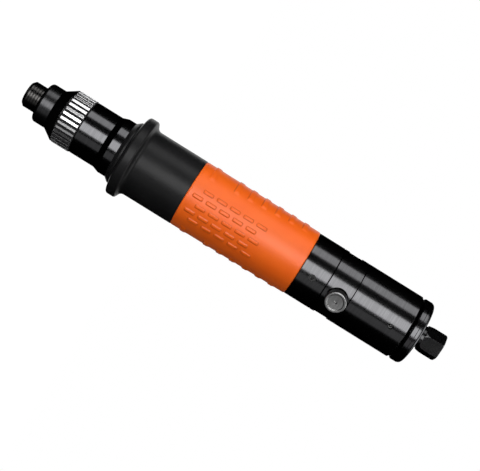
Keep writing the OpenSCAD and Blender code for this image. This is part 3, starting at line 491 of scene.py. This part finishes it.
def plated_flutes():
    """Satin plate on the lands, and black wherever the surface lies deeper than the lands, in the flutes'
    bottoms and flanks.
    """
    material, tree, shader = blank("satin_plate")
    place = Field(tree, add_node(tree, "ShaderNodeTexCoord").outputs["Object"])
    apart = add_node(tree, "ShaderNodeSeparateXYZ", _0=place.socket)
    x, y = Field(tree, apart.outputs[0]), Field(tree, apart.outputs[1])
    radius = (x * x + y * y).root() / MM
    brushed = use_group(material, turning, Feed=1700.0)
    hands = use_group(material, handling, Smear=0.5, Dust=0.2)
    plate = radius.ramp(RING_R - 0.2, RING_R - 0.06)
    tree.links.new(two_tone(tree, plate, (0.012, 0.012, 0.013), (0.82, 0.82, 0.83)),
                   shader.inputs["Base Color"])
    dull = hands["Smears"] * 0.12 + brushed["Height"] * 0.1 + 0.68 - plate * 0.41
    tree.links.new(dull.socket, shader.inputs["Roughness"])
    tree.links.new(plate.socket, shader.inputs["Metallic"])
    tree.links.new(bump(tree, brushed["Height"], 0.000006), shader.inputs["Normal"])
    shader.inputs["Specular IOR Level"].default_value = 0.2
    return material


def flute_sector():
    """One land and one flute of the ring, from bore to rim, with the rim's ends bevelled.

    The rim is drawn with angles as shares of a flute's pitch and heights at a third of their size,
    so that the rounding of its corners is even."""
    pitch = 2 * math.pi / FLUTES
    rim = rounded([(-0.30, 0), (0.14, 0, 0.035), (0.28, -FLUTE_DEPTH / 3, 0.03), (0.56, -FLUTE_DEPTH / 3, 0.03),
                   (0.70, 0, 0.035)], math.radians(22))
    rim = [(p.x * pitch, p.y * 3) for p in rim]
    levels = [(RING_FRONT, 0.95), (RING_FRONT + 0.25, 0.45), (RING_FRONT + 0.55, 0.12), (RING_FRONT + 1.0, 0)]
    levels += [(RING_BACK - 1.0, 0), (RING_BACK - 0.55, 0.12), (RING_BACK - 0.25, 0.45), (RING_BACK, 0.95)]
    bore_r = [12.95, 12.95, 12.95, 12.95, 14.1, 14.1, 14.1, 14.1]
    build = bmesh.new()
    sheet_rows = []
    for z, cut in levels:
        row = []
        for angle, drop in rim:
            r = min(RING_R + drop, RING_R - cut)
            row.append(build.verts.new((r * math.cos(angle) * MM, r * math.sin(angle) * MM, z * MM)))
        sheet_rows.append(row)
    inner_rows = []
    for z, r in ((RING_BACK, 14.1), (28.6, 14.1), (28.6, 12.95), (RING_FRONT, 12.95)):
        inner_rows.append([build.verts.new((r * math.cos(angle) * MM, r * math.sin(angle) * MM, z * MM))
                           for angle, _ in rim])
    rows = sheet_rows + inner_rows
    for one, two in zip(rows, rows[1:] + rows[:1]):
        for k in range(len(rim) - 1):
            build.faces.new((one[k], one[k + 1], two[k + 1], two[k]))
    mesh = bpy.data.meshes.new("flute_sector")
    build.to_mesh(mesh)
    build.free()
    return mesh


ring_tree, ring_in, ring_out = growing_tree("flutes_round_ring", Flutes=34, Finish=None)
spots = add_node(ring_tree, "GeometryNodePoints")
ring_tree.links.new(ring_in.outputs["Flutes"], spots.inputs["Count"])
copies = add_node(ring_tree, "GeometryNodeInstanceOnPoints")
ring_tree.links.new(spots.outputs[0], copies.inputs["Points"])
ring_tree.links.new(ring_in.outputs["Mesh"], copies.inputs["Instance"])
share = Field(ring_tree, add_node(ring_tree, "GeometryNodeInputIndex").outputs[0]) * (2 * math.pi)
share = share / Field(ring_tree, ring_in.outputs["Flutes"])
spin = add_node(ring_tree, "ShaderNodeCombineXYZ", Z=share.socket)
ring_tree.links.new(spin.outputs[0], copies.inputs["Rotation"])
real = add_node(ring_tree, "GeometryNodeRealizeInstances", _0=copies.outputs[0])
welded = add_node(ring_tree, "GeometryNodeMergeByDistance", Geometry=real.outputs[0], Distance=1e-6)
dressed = add_node(ring_tree, "GeometryNodeSetMaterial", Geometry=welded.outputs[0])
ring_tree.links.new(ring_in.outputs["Finish"], dressed.inputs["Material"])
ring_tree.links.new(dressed.outputs[0], ring_out.inputs[0])
satin_plate = plated_flutes()
fluted = grown(flute_sector(), ring_tree, Flutes=FLUTES, Finish=satin_plate)
build = bmesh.new()
build.from_mesh(fluted)
bmesh.ops.recalc_face_normals(build, faces=build.faces)
build.to_mesh(fluted)
build.free()
fit("fluted_ring", shaded(fluted), satin_plate, "adjusting_ring", "bright_chrome", "adjusting_ring")


# Clutch housing: aluminium tube, turned and black anodised. The torque ring turns on its front,
# and the adjusting nut slides in it. The anodised rear pieces have the same finish.
def dress(material, *names):
    """Gives this material to every face of the named pieces."""
    for name in names:
        for place_for in nodes[name].material_slots:
            place_for.material = material


black_anodise = metal("black_anodise", (0.076, 0.076, 0.079), 0.165, feed=1900.0, marks=0.0000025,
                      smear=0.25, worn=0.12, rub=(0.2, 0.2, 0.21), rim=(0, 0, 0), dust=0.1)
dress(black_anodise, "clutch_housing")


# Clutch: the spring's load on the balls between two plates sets the torque at which it slips.
# Ground and hardened steel, a bronze bush, a bright zinc spring behind the nut.
ground_steel = metal("ground_steel", (0.60, 0.60, 0.61), 0.22, feed=3200.0, smear=0.2, worn=0.0)
slots = {part["node"]: part["material_slot"] for part in frame["record"]["subparts"]}
blackened_parts = metal("blackened_parts", (0.10, 0.10, 0.10), 0.32, feed=2200.0, worn=0.4)
spring_wire = metal("spring_wire", (0.46, 0.46, 0.47), 0.30, feed=900.0, marks=0.000002, worn=0.0)
oiled_bronze = metal("oiled_bronze", (0.70, 0.43, 0.20), 0.34, feed=2400.0, smear=0.6, worn=0.0)
by_slot = {"ground_steel": ground_steel, "black_steel": blackened_parts, "spring_steel": spring_wire,
           "blackened_steel": blackened_steel, "bronze": oiled_bronze, "black_oxide": nose_black}
clutch_pieces = ("sleeve_spring", "sleeve_snap_ring", "lock_ball_a", "lock_ball_b", "spindle_stop_ring",
                 "spindle_bush", "adjusting_nut", "clutch_spring", "thrust_bearing", "clutch_driven_plate",
                 "clutch_balls", "clutch_drive_plate", "return_spring", "output_bearing", "push_rod")
for name in clutch_pieces:
    dress(by_slot[slots[name]], name)


# Gearbox: two planetary stages in one ring-gear case, cut and ground steel with involute teeth.
for name in [n for n in nodes if n.startswith(("stage1_", "stage2_"))] + ["gear_case"]:
    dress(by_slot[slots[name]], name)


# Vane motor: cast-iron cylinder between two end plates, steel rotor, vanes of pressed fibre
# laminate, and the aluminium housing that carries them.
bright_aluminium = metal("bright_aluminium", (0.78, 0.79, 0.80), 0.36, feed=1500.0, marks=0.000005,
                         worn=0.0)
honed_iron = metal("honed_iron", (0.26, 0.255, 0.25), 0.42, feed=1300.0, marks=0.000008, smear=0.6,
                   worn=0.1)
by_slot |= {"aluminium": bright_aluminium, "cast_iron": honed_iron, "black_anodised": black_anodise}

vane_laminate, tree, shader = blank("vane_laminate")
place = add_node(tree, "ShaderNodeTexCoord").outputs["Object"]
plies = noise(tree, place, 2400.0, (1, 1, 0.05), 2.0)
threads = noise(tree, place, 1100.0, (0.3, 0.3, 1), 4.0)
tree.links.new(two_tone(tree, plies * 0.5 + threads * 0.5, (0.16, 0.065, 0.022), (0.34, 0.16, 0.06)),
               shader.inputs["Base Color"])
tree.links.new((threads * 0.2 + 0.42).socket, shader.inputs["Roughness"])
tree.links.new(bump(tree, plies, 0.00001), shader.inputs["Normal"])
by_slot["vane_fibre"] = vane_laminate
for name in ("motor_housing", "front_end_plate", "front_rotor_bearing", "rotor", "vanes", "cylinder_liner",
             "rear_end_plate", "rear_rotor_bearing", "air_manifold"):
    dress(by_slot[slots[name]], name)


# Front grip: one moulded sleeve of black rubber, pressed over the motor housing. Its flange
# keeps the hand from slipping forward, and its surface has the mould's fine matt grain.
GRIP_BORE = 17.05
GRIP_OUTLINE = [
    (GRIP_BORE, 60.25), (17.2, 60.25), (18.95, 62.4, 0.5), (18.95, 63.5, 0.15), (19.2, 63.5),
    (23.9, 64.7, 1.6), (23.9, 69.95, 1.4), (19.8, 72.03, 3.2), (19.75, 103.7, 0.25), (GRIP_BORE, 103.7),
]


def moulded(name, deep, light, roughness, grain_depth, gloss, smear=0.5, dust=0.35, painted_crease_shade=None):
    """Moulded rubber: fine grain from the mould, a bloom that lightens it, finger smears, and painted shade
    that darkens the colour where a named attribute marks the creases.
    """
    material, tree, shader = blank(name)
    place = add_node(tree, "ShaderNodeTexCoord").outputs["Object"]
    grain = noise(tree, place, 2300.0, detail=2.0)
    cloud = noise(tree, place, 65.0, detail=4.0)
    hands = use_group(material, handling, Smear=smear, Dust=dust)
    tone = cloud * 0.5 + grain * 0.35 + hands["Specks"] * 0.3
    colour = two_tone(tree, tone.ramp(0.2, 0.75), deep, light)
    # Painted shade: where the attribute marks a crease, the colour runs down to about a third of the deep tone.
    if painted_crease_shade:
        crease_shaded = add_node(tree, "ShaderNodeMix", data_type="RGBA", _6=colour)
        crease_shaded.inputs[7].default_value = (*(c * 0.35 for c in deep), 1)
        tree.links.new(add_node(tree, "ShaderNodeAttribute", attribute_name=painted_crease_shade).outputs["Fac"],
                       crease_shaded.inputs[0])
        colour = crease_shaded.outputs[2]
    tree.links.new(colour, shader.inputs["Base Color"])
    tree.links.new((grain * 0.12 + hands["Smears"] * -0.08 + roughness).socket, shader.inputs["Roughness"])
    tree.links.new(bump(tree, grain, grain_depth), shader.inputs["Normal"])
    shader.inputs["Specular IOR Level"].default_value = gloss
    return material


black_rubber = moulded("black_rubber", (0.007, 0.007, 0.0074), (0.013, 0.013, 0.0134), 0.30, 0.000012, 0.14)
fit("moulded_front_grip", lathe(rounded(GRIP_OUTLINE, math.radians(7)), 192), black_rubber,
    "housing", "black_rubber", "front_grip")


# Grip sleeve: orange rubber, moulded with rows of raised dashes on two sides for the finger
# tips and with raked ribs between them. It is pushed on behind the front grip.
SLEEVE_Z0, SLEEVE_Z1 = 103.75, 176.45
FRONT_R, BACK_R = 19.7, 19.25
TREAD = {"Rise": 0.45, "Dash Length": 5.6, "Dash Width": 1.65, "Dash Pitch": 8.3, "Row Angle": 13.1,
         "First Dash": 110.05, "Rib Height": 0.45}
LAST_DASH = 4.0
OUTER_ROW = 2.0
RIB_PITCH = 8.3
RIB_START, RIB_START_STEP = 54.0, 2.4
FIRST_RIB_Z, LAST_RIB = 124.85, 5.0
LONE_RIB_START, LONE_RIB_Z = 51.0, 109.95
TREAD_HALF_ANGLE = 34.0
TREAD_COLUMNS, SIDE_COLUMNS = 92, 56
SLEEVE_ROWS = 224


def sleeve_blank():
    """Plain tapered tube: close rows everywhere, closer columns where the dashes are."""
    angles = []
    tread_arc = 2 * TREAD_HALF_ANGLE
    for side in (-90.0, 90.0):
        start = side - TREAD_HALF_ANGLE
        angles += [start + tread_arc * k / TREAD_COLUMNS for k in range(TREAD_COLUMNS)]
        start = side + TREAD_HALF_ANGLE
        angles += [start + (180 - tread_arc) * k / SIDE_COLUMNS for k in range(SIDE_COLUMNS)]
    rolled = {0: 0.3, 1: 0.09, SLEEVE_ROWS - 1: 0.09, SLEEVE_ROWS: 0.3}
    profile = []
    for k in range(SLEEVE_ROWS + 1):
        z = SLEEVE_Z0 + (SLEEVE_Z1 - SLEEVE_Z0) * k / SLEEVE_ROWS
        r = FRONT_R + (BACK_R - FRONT_R) * k / SLEEVE_ROWS
        profile.append((r - rolled.get(k, 0), z))
    profile += [(GRIP_BORE, SLEEVE_Z1), (GRIP_BORE, SLEEVE_Z0)]
    build = bmesh.new()
    ways = [(math.cos(math.radians(a)) * MM, math.sin(math.radians(a)) * MM) for a in angles]
    columns = [[build.verts.new((r * x, r * y, z * MM)) for r, z in profile] for x, y in ways]
    for one, two in zip(columns, columns[1:] + columns[:1]):
        for k in range(len(profile)):
            m = (k + 1) % len(profile)
            build.faces.new((one[k], two[k], two[m], one[m]))
    bmesh.ops.recalc_face_normals(build, faces=build.faces)
    mesh = bpy.data.meshes.new("sleeve_blank")
    build.to_mesh(mesh)
    build.free()
    return mesh


def stepped(tree, value, edge):
    """1 where the value is past the edge, else 0."""
    made = add_node(tree, "ShaderNodeMath", operation="GREATER_THAN", _0=value.socket, _1=edge)
    return Field(tree, made.outputs[0])


# The orange rubber is darkened by painted shade at the feet of its dashes and the toes of its ribs.
orange_rubber = moulded("orange_rubber", (0.93, 0.125, 0.003), (1.0, 0.160, 0.006), 0.33, 0.000012, 0.27,
                        smear=0.4, dust=0.2, painted_crease_shade="PaintedCreaseShade")
# The rule: a point's turn is folded onto one tread, then the nearest dash or rib lifts it.
tread, into, out = growing_tree("dashes_and_ribs", **TREAD, Finish=None)
given = {name: Field(tread, into.outputs[name]) for name in TREAD}
position = add_node(tread, "GeometryNodeInputPosition").outputs[0]
apart = add_node(tread, "ShaderNodeSeparateXYZ", _0=position)
x, y, z = (Field(tread, apart.outputs[i]) / MM for i in range(3))
radius = (x * x + y * y).root()
turn = x.step("ARCTAN2", y * -1)
turn = turn - (turn / math.pi).whole() * math.pi
row = ((turn * (180 / math.pi)) / given["Row Angle"]).whole().above(-OUTER_ROW).below(OUTER_ROW)
across = (turn - row * given["Row Angle"] * (math.pi / 180)) * radius
odd = (row / 2 - (row / 2).whole()).size() * 2
stagger = (odd * -1 + 1) * given["Dash Pitch"] / 2
along = z - given["First Dash"] - stagger
number = (along / given["Dash Pitch"]).whole().above(0.0).below(LAST_DASH)
dash_round = 0.35
past_end = (along - number * given["Dash Pitch"]).size() - given["Dash Length"] / 2 + dash_round
past_end = past_end.above(0.0)
past_side = (across.size() - given["Dash Width"] / 2 + dash_round).above(0.0)
from_dash = (past_end * past_end + past_side * past_side).root()
dash = from_dash.ramp(0.15, 0.55, 1.0, 0.0)
outside = stepped(tread, radius, 18.0)
beside = (turn * (180 / math.pi)).size()
rib_number = ((z - 1.2 - FIRST_RIB_Z) / RIB_PITCH).whole().above(0.0).below(LAST_RIB)
rib_back = z - FIRST_RIB_Z - rib_number * RIB_PITCH
rib_start = rib_number * RIB_START_STEP + RIB_START
rake = rib_back.ramp(-0.25, 0.2) * rib_back.ramp(2.2, 3.9, 1.0, 0.0)
rib = rake * (beside - rib_start).ramp(-1.2, 1.2)
lone_back = z - LONE_RIB_Z
lone = lone_back.ramp(-0.25, 0.2) * lone_back.ramp(2.2, 3.9, 1.0, 0.0)
lone = lone * (beside - LONE_RIB_START).ramp(-1.2, 1.2)
lift = (dash * given["Rise"]).above((rib + lone) * given["Rib Height"]) * outside * MM
raised = add_node(tread, "ShaderNodeCombineXYZ",
                  _0=(x / radius * lift).socket, _1=(y / radius * lift).socket)
# Painted shade: a ring round the foot of each dash and a strip at the toe of each rib, stored as an attribute
# that darkens the rubber there.
foot = from_dash.ramp(0.2, 0.45) * from_dash.ramp(0.5, 0.85, 1.0, 0.0)
rib_toe_shade = rib_back.ramp(-0.7, -0.3) * rib_back.ramp(-0.1, 0.25, 1.0, 0.0)
rib_toe_shade = rib_toe_shade * (beside - rib_start).ramp(-1.2, 1.2)
crease_shade_store = add_node(tread, "GeometryNodeStoreNamedAttribute", Geometry=into.outputs["Mesh"],
                Name="PaintedCreaseShade", Value=((foot * 0.55).above(rib_toe_shade * 0.5) * outside).socket)
moved = add_node(tread, "GeometryNodeSetPosition", Geometry=crease_shade_store.outputs[0], Offset=raised.outputs[0])
real = add_node(tread, "GeometryNodeRealizeInstances", _0=moved.outputs[0])
dressed = add_node(tread, "GeometryNodeSetMaterial", Geometry=real.outputs[0])
tread.links.new(into.outputs["Finish"], dressed.inputs["Material"])
tread.links.new(dressed.outputs[0], out.inputs[0])
sleeve = grown(sleeve_blank(), tread, **TREAD, Finish=orange_rubber)
sleeve.shade_smooth()
sleeve.set_sharp_from_angle(angle=math.radians(60))
fit("dashed_grip_sleeve", sleeve, orange_rubber, "housing", "orange_rubber", "grip_sleeve")


# Rear coupling and reverse block: anodised aluminium. A set screw locks the coupling on the
# motor housing, and two wrench flats on the block hold it while the rear body is screwed up.
screw_black = metal("screw_black", (0.045, 0.045, 0.045), 0.35, feed=1500.0, worn=0.3, rim=(0, 0, 0))
dress(black_anodise, "rear_coupling", "reverse_block")
dress(screw_black, "set_screw")


# Reverse button: black button with a dished face that is pushed in to change the rotor's way
# of turning. A pin keeps it in its bore, and a spring brings it back.
BUTTON_TURN = math.radians(8.8)
BUTTON_Z = 201.4
BUTTON_R = 6.0
BUTTON_BASE, BUTTON_FACE = 19.4, 24.4
button_way = Vector((math.sin(BUTTON_TURN), -math.cos(BUTTON_TURN), 0))
button_place = standing(Vector((math.cos(BUTTON_TURN), math.sin(BUTTON_TURN), 0)), Vector((0, 0, 1)),
                        button_way, Vector((0, 0, BUTTON_Z * MM)))
button_black = metal("button_black", (0.30, 0.30, 0.30), 0.30, feed=1200.0, marks=0.000002, smear=0.4,
                     worn=0.5, rub=(0.6, 0.6, 0.6), rim=(0.4, 0.4, 0.4))
fit("dished_button", lathe(rounded([
    (0, 11.5), (3.4, 11.5, 0.3), (3.4, 12.5), (2.3, 12.5), (2.3, 17.55), (3.4, 17.55), (3.4, BUTTON_BASE),
    (BUTTON_R, BUTTON_BASE, 0.3), (BUTTON_R, BUTTON_FACE, 0.55), (4.7, BUTTON_FACE, 0.35),
    (4.35, BUTTON_FACE - 0.4, 0.5), (1.0, BUTTON_FACE - 0.5, 0.12), (0.9, BUTTON_FACE - 2.4, 0.2),
    (0, BUTTON_FACE - 2.6)], math.radians(12)), 120, button_place), button_black,
    "reverse_button", "button_black", "reverse_button")
dress(spring_wire, "reverse_spring")
dress(ground_steel, "reverse_stop_pin")


# Rear housing: anodised tube over the throttle and the silencer, bevelled at its back edge.
# A blind hole in its side takes the pin that locks the end cap's thread.
REAR_R = 19.0
REAR_BORE = 15.0
HOUSING_FRONT, HOUSING_BACK = 208.1, 243.6
HOUSING_WALL_BACK = 213.1
FRONT_BORE = 14.05
BEVEL = 1.3
PIN_Z = 233.5


def combined(first, second, operation):
    """Mesh of two closed meshes joined, of what they share, or of the first without the second."""
    body, tool = add_object("body", first), add_object("tool", second)
    join = body.modifiers.new("combine", "BOOLEAN")
    join.object, join.solver, join.operation = tool, "EXACT", operation
    made = bpy.data.meshes.new_from_object(
        body.evaluated_get(bpy.context.evaluated_depsgraph_get()))
    for item in (body, tool):
        bpy.data.objects.remove(item)
    return made


def bored(mesh, cutters):
    """Mesh with the cutter mesh taken out of it, and its turned outside kept truly round."""
    made = shaded(combined(mesh, cutters, "DIFFERENCE"))
    normals = [Vector(corner.vector) for corner in made.corner_normals]
    for face in made.polygons:
        out_from_axis = Vector((face.center.x, face.center.y, 0))
        if abs(face.normal.z) > 0.01 or out_from_axis.length < (REAR_R - 0.05) * MM:
            continue
        for corner in face.loop_indices:
            at = made.vertices[made.loops[corner].vertex_index].co
            normals[corner] = Vector((at.x, at.y, 0)).normalized()
    made.normals_split_custom_set(normals)
    return made


outward = standing(Vector((1, 0, 0)), Vector((0, 0, 1)), Vector((0, -1, 0)), Vector((0, 0, PIN_Z * MM)))
pin_bore = lathe([Vector(p) for p in ((0, 12), (1.5, 12), (1.5, 21), (0, 21))],
                 48, outward)
tube = lathe(rounded([
    (FRONT_BORE, HOUSING_FRONT), (REAR_R, HOUSING_FRONT, 0.3), (REAR_R, HOUSING_BACK - BEVEL, 0.15),
    (REAR_R - BEVEL, HOUSING_BACK, 0.1), (REAR_BORE, HOUSING_BACK),
    (REAR_BORE, HOUSING_WALL_BACK), (FRONT_BORE, HOUSING_WALL_BACK)]), 192)
fit("bevelled_rear_housing", bored(tube, pin_bore), black_anodise, "housing", "black_anodised", "rear_housing")
fit("headed_lock_pin", lathe(rounded([
    (0, 14.8), (1.45, 14.8), (1.45, 16.7, 0.1), (0.85, 16.6), (0.75, 17.35, 0.35), (0, 17.55)],
    math.radians(12)), 48, outward), screw_black, "housing", "black_steel", "lock_pin")


# Throttle and silencer: a bronze seat and a steel valve that the push rod lifts, and a ring of
# sintered felt that breaks up the sound of the exhaust.
dress(oiled_bronze, "throttle_seat")
dress(ground_steel, "throttle_valve")
dress(spring_wire, "throttle_spring")
silencer_felt, tree, shader = blank("silencer_felt")
place = add_node(tree, "ShaderNodeTexCoord").outputs["Object"]
beads = noise(tree, place, 1500.0, detail=3.0)
stain = noise(tree, place, 90.0, detail=4.0)
tree.links.new(two_tone(tree, beads * 0.6 + stain * 0.4, (0.22, 0.19, 0.14), (0.55, 0.50, 0.40)),
               shader.inputs["Base Color"])
shader.inputs["Roughness"].default_value = 0.9
tree.links.new(bump(tree, beads, 0.0002), shader.inputs["Normal"])
dress(silencer_felt, "silencer")


# End cap: anodised, screwed into the rear housing. The bevelled slot between the two lets the
# exhaust out round the tool, through ports in the slot's floor.
CAP_END = 250.3
SLOT = 0.5
CAP_EDGE = 1.1
SLOT_FLOOR = 16.4
PORTS, PORT_WIDTH = 8, 7.0
CUP_R, CUP_END = 12.5, 245.7
SPIGOT_R, SPIGOT_FRONT = 14.98, 236.0
SEAL_FLOOR, SEAL_FRONT, SEAL_BACK = 13.4, 238.55, 240.45
LINE_Z, LINE_DEPTH = 247.2, 0.22
cap_front = HOUSING_BACK + SLOT
cap_seat = HOUSING_BACK + 0.02
ports = bmesh.new()
for i in range(PORTS):
    a = 2 * math.pi * (i + 0.5) / PORTS
    box = bmesh.ops.create_cube(ports, size=1.0)["verts"]
    bmesh.ops.scale(ports, vec=(PORT_WIDTH * MM, PORT_WIDTH * MM, (SLOT - 0.1) * MM), verts=box)
    bmesh.ops.translate(ports, vec=(14.5 * MM, 0, (HOUSING_BACK + SLOT / 2) * MM), verts=box)
    bmesh.ops.rotate(ports, cent=(0, 0, 0), matrix=Matrix.Rotation(a, 3, "Z"), verts=box)
port_mesh = bpy.data.meshes.new("ports")
ports.to_mesh(port_mesh)
ports.free()
cap = lathe(rounded([
    (CUP_R, SPIGOT_FRONT), (SPIGOT_R, SPIGOT_FRONT, 0.2), (SPIGOT_R, SEAL_FRONT),
    (SEAL_FLOOR, SEAL_FRONT), (SEAL_FLOOR, SEAL_BACK), (SPIGOT_R, SEAL_BACK), (SPIGOT_R, cap_seat),
    (SLOT_FLOOR, cap_seat), (SLOT_FLOOR, cap_front), (REAR_R, cap_front, CAP_EDGE),
    (REAR_R, LINE_Z - 0.2), (REAR_R - LINE_DEPTH, LINE_Z, 0.05), (REAR_R, LINE_Z + 0.2),
    (REAR_R, 248.5, 0.05), (REAR_R - 0.2, 248.6, 0.05), (REAR_R - 0.2, CAP_END, 1.7),
    (7.05, CAP_END, 0.1), (7.05, CUP_END), (CUP_R, CUP_END)], math.radians(9)), 192)
fit("slotted_end_cap", bored(cap, port_mesh), black_anodise, "housing", "black_anodised", "end_cap")


# Air inlet: steel, blackened, with a hexagon for the wrench and a thread for the hose fitting.
# A screen of pressed steel in the bottom of the bore keeps scale out of the motor.
inlet_black = metal("inlet_black", (0.045, 0.045, 0.046), 0.20, feed=1700.0, marks=0.000003, worn=0.35,
                    rub=(0.25, 0.25, 0.25), rim=(0, 0, 0))
INLET_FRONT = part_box("air_inlet")[0][2] / MM
HEX_AF, HEX_TURN = 14.0, 0.7
HEX_FRONT, HEX_BACK = 253.8, 265.4
THREAD_R, THREAD_FRONT = 4.3, 251.9
SCREEN_R, SCREEN_SEAT = 3.9, 250.1
PASSAGE_R = 3.4
CHAMBER_R, CHAMBER_LENGTH = 5.6, 13
STEM_R, NECK_R, NECK_FRONT = 7, 6.6, 250.2
corner = HEX_AF / 2 / math.cos(math.radians(30))

prism = bmesh.new()
base = []
for k in range(6):
    a = math.radians(HEX_TURN + 60 * k)
    base.append(prism.verts.new((corner * MM * math.cos(a), corner * MM * math.sin(a),
                                 (HEX_FRONT - 1) * MM)))
grown_up = bmesh.ops.extrude_face_region(prism, geom=[prism.faces.new(base)])["geom"]
bmesh.ops.translate(prism, vec=(0, 0, (HEX_BACK - HEX_FRONT + 2) * MM),
                    verts=[part for part in grown_up if isinstance(part, bmesh.types.BMVert)])
bmesh.ops.recalc_face_normals(prism, faces=prism.faces)
hexagon = bpy.data.meshes.new("hexagon")
prism.to_mesh(hexagon)
prism.free()
head = lathe(rounded([
    (THREAD_R, HEX_FRONT), (corner - 0.7, HEX_FRONT, 0.15), (corner + 0.02, HEX_FRONT + 3.2, 1.5),
    (corner + 0.02, HEX_BACK - 0.8, 0.5), (corner - 0.6, HEX_BACK, 0.2), (THREAD_R + 0.4, HEX_BACK),
    (THREAD_R, HEX_BACK - 0.4)]), 120)
stem = lathe(rounded([
    (CHAMBER_R, INLET_FRONT), (STEM_R, INLET_FRONT, 0.2), (STEM_R, NECK_FRONT), (NECK_R, NECK_FRONT),
    (NECK_R, HEX_FRONT + 0.5), (THREAD_R, HEX_FRONT + 0.5), (THREAD_R, THREAD_FRONT),
    (SCREEN_R, THREAD_FRONT), (SCREEN_R, SCREEN_SEAT), (PASSAGE_R, SCREEN_SEAT),
    (PASSAGE_R, INLET_FRONT + CHAMBER_LENGTH), (CHAMBER_R, INLET_FRONT + CHAMBER_LENGTH)]), 120)
inlet = shaded(combined(combined(head, hexagon, "INTERSECT"), stem, "UNION"))
fit("hexagon_air_inlet", inlet, inlet_black, "housing", slots["air_inlet"], "air_inlet")
dress(ground_steel, "inlet_screen")


# Seals: rings of nitrile rubber at the coupling, the block and the end cap.
nitrile = moulded("nitrile", (0.010, 0.010, 0.010), (0.018, 0.018, 0.018), 0.38, 0.000008, 0.3)
dress(nitrile, "seals")
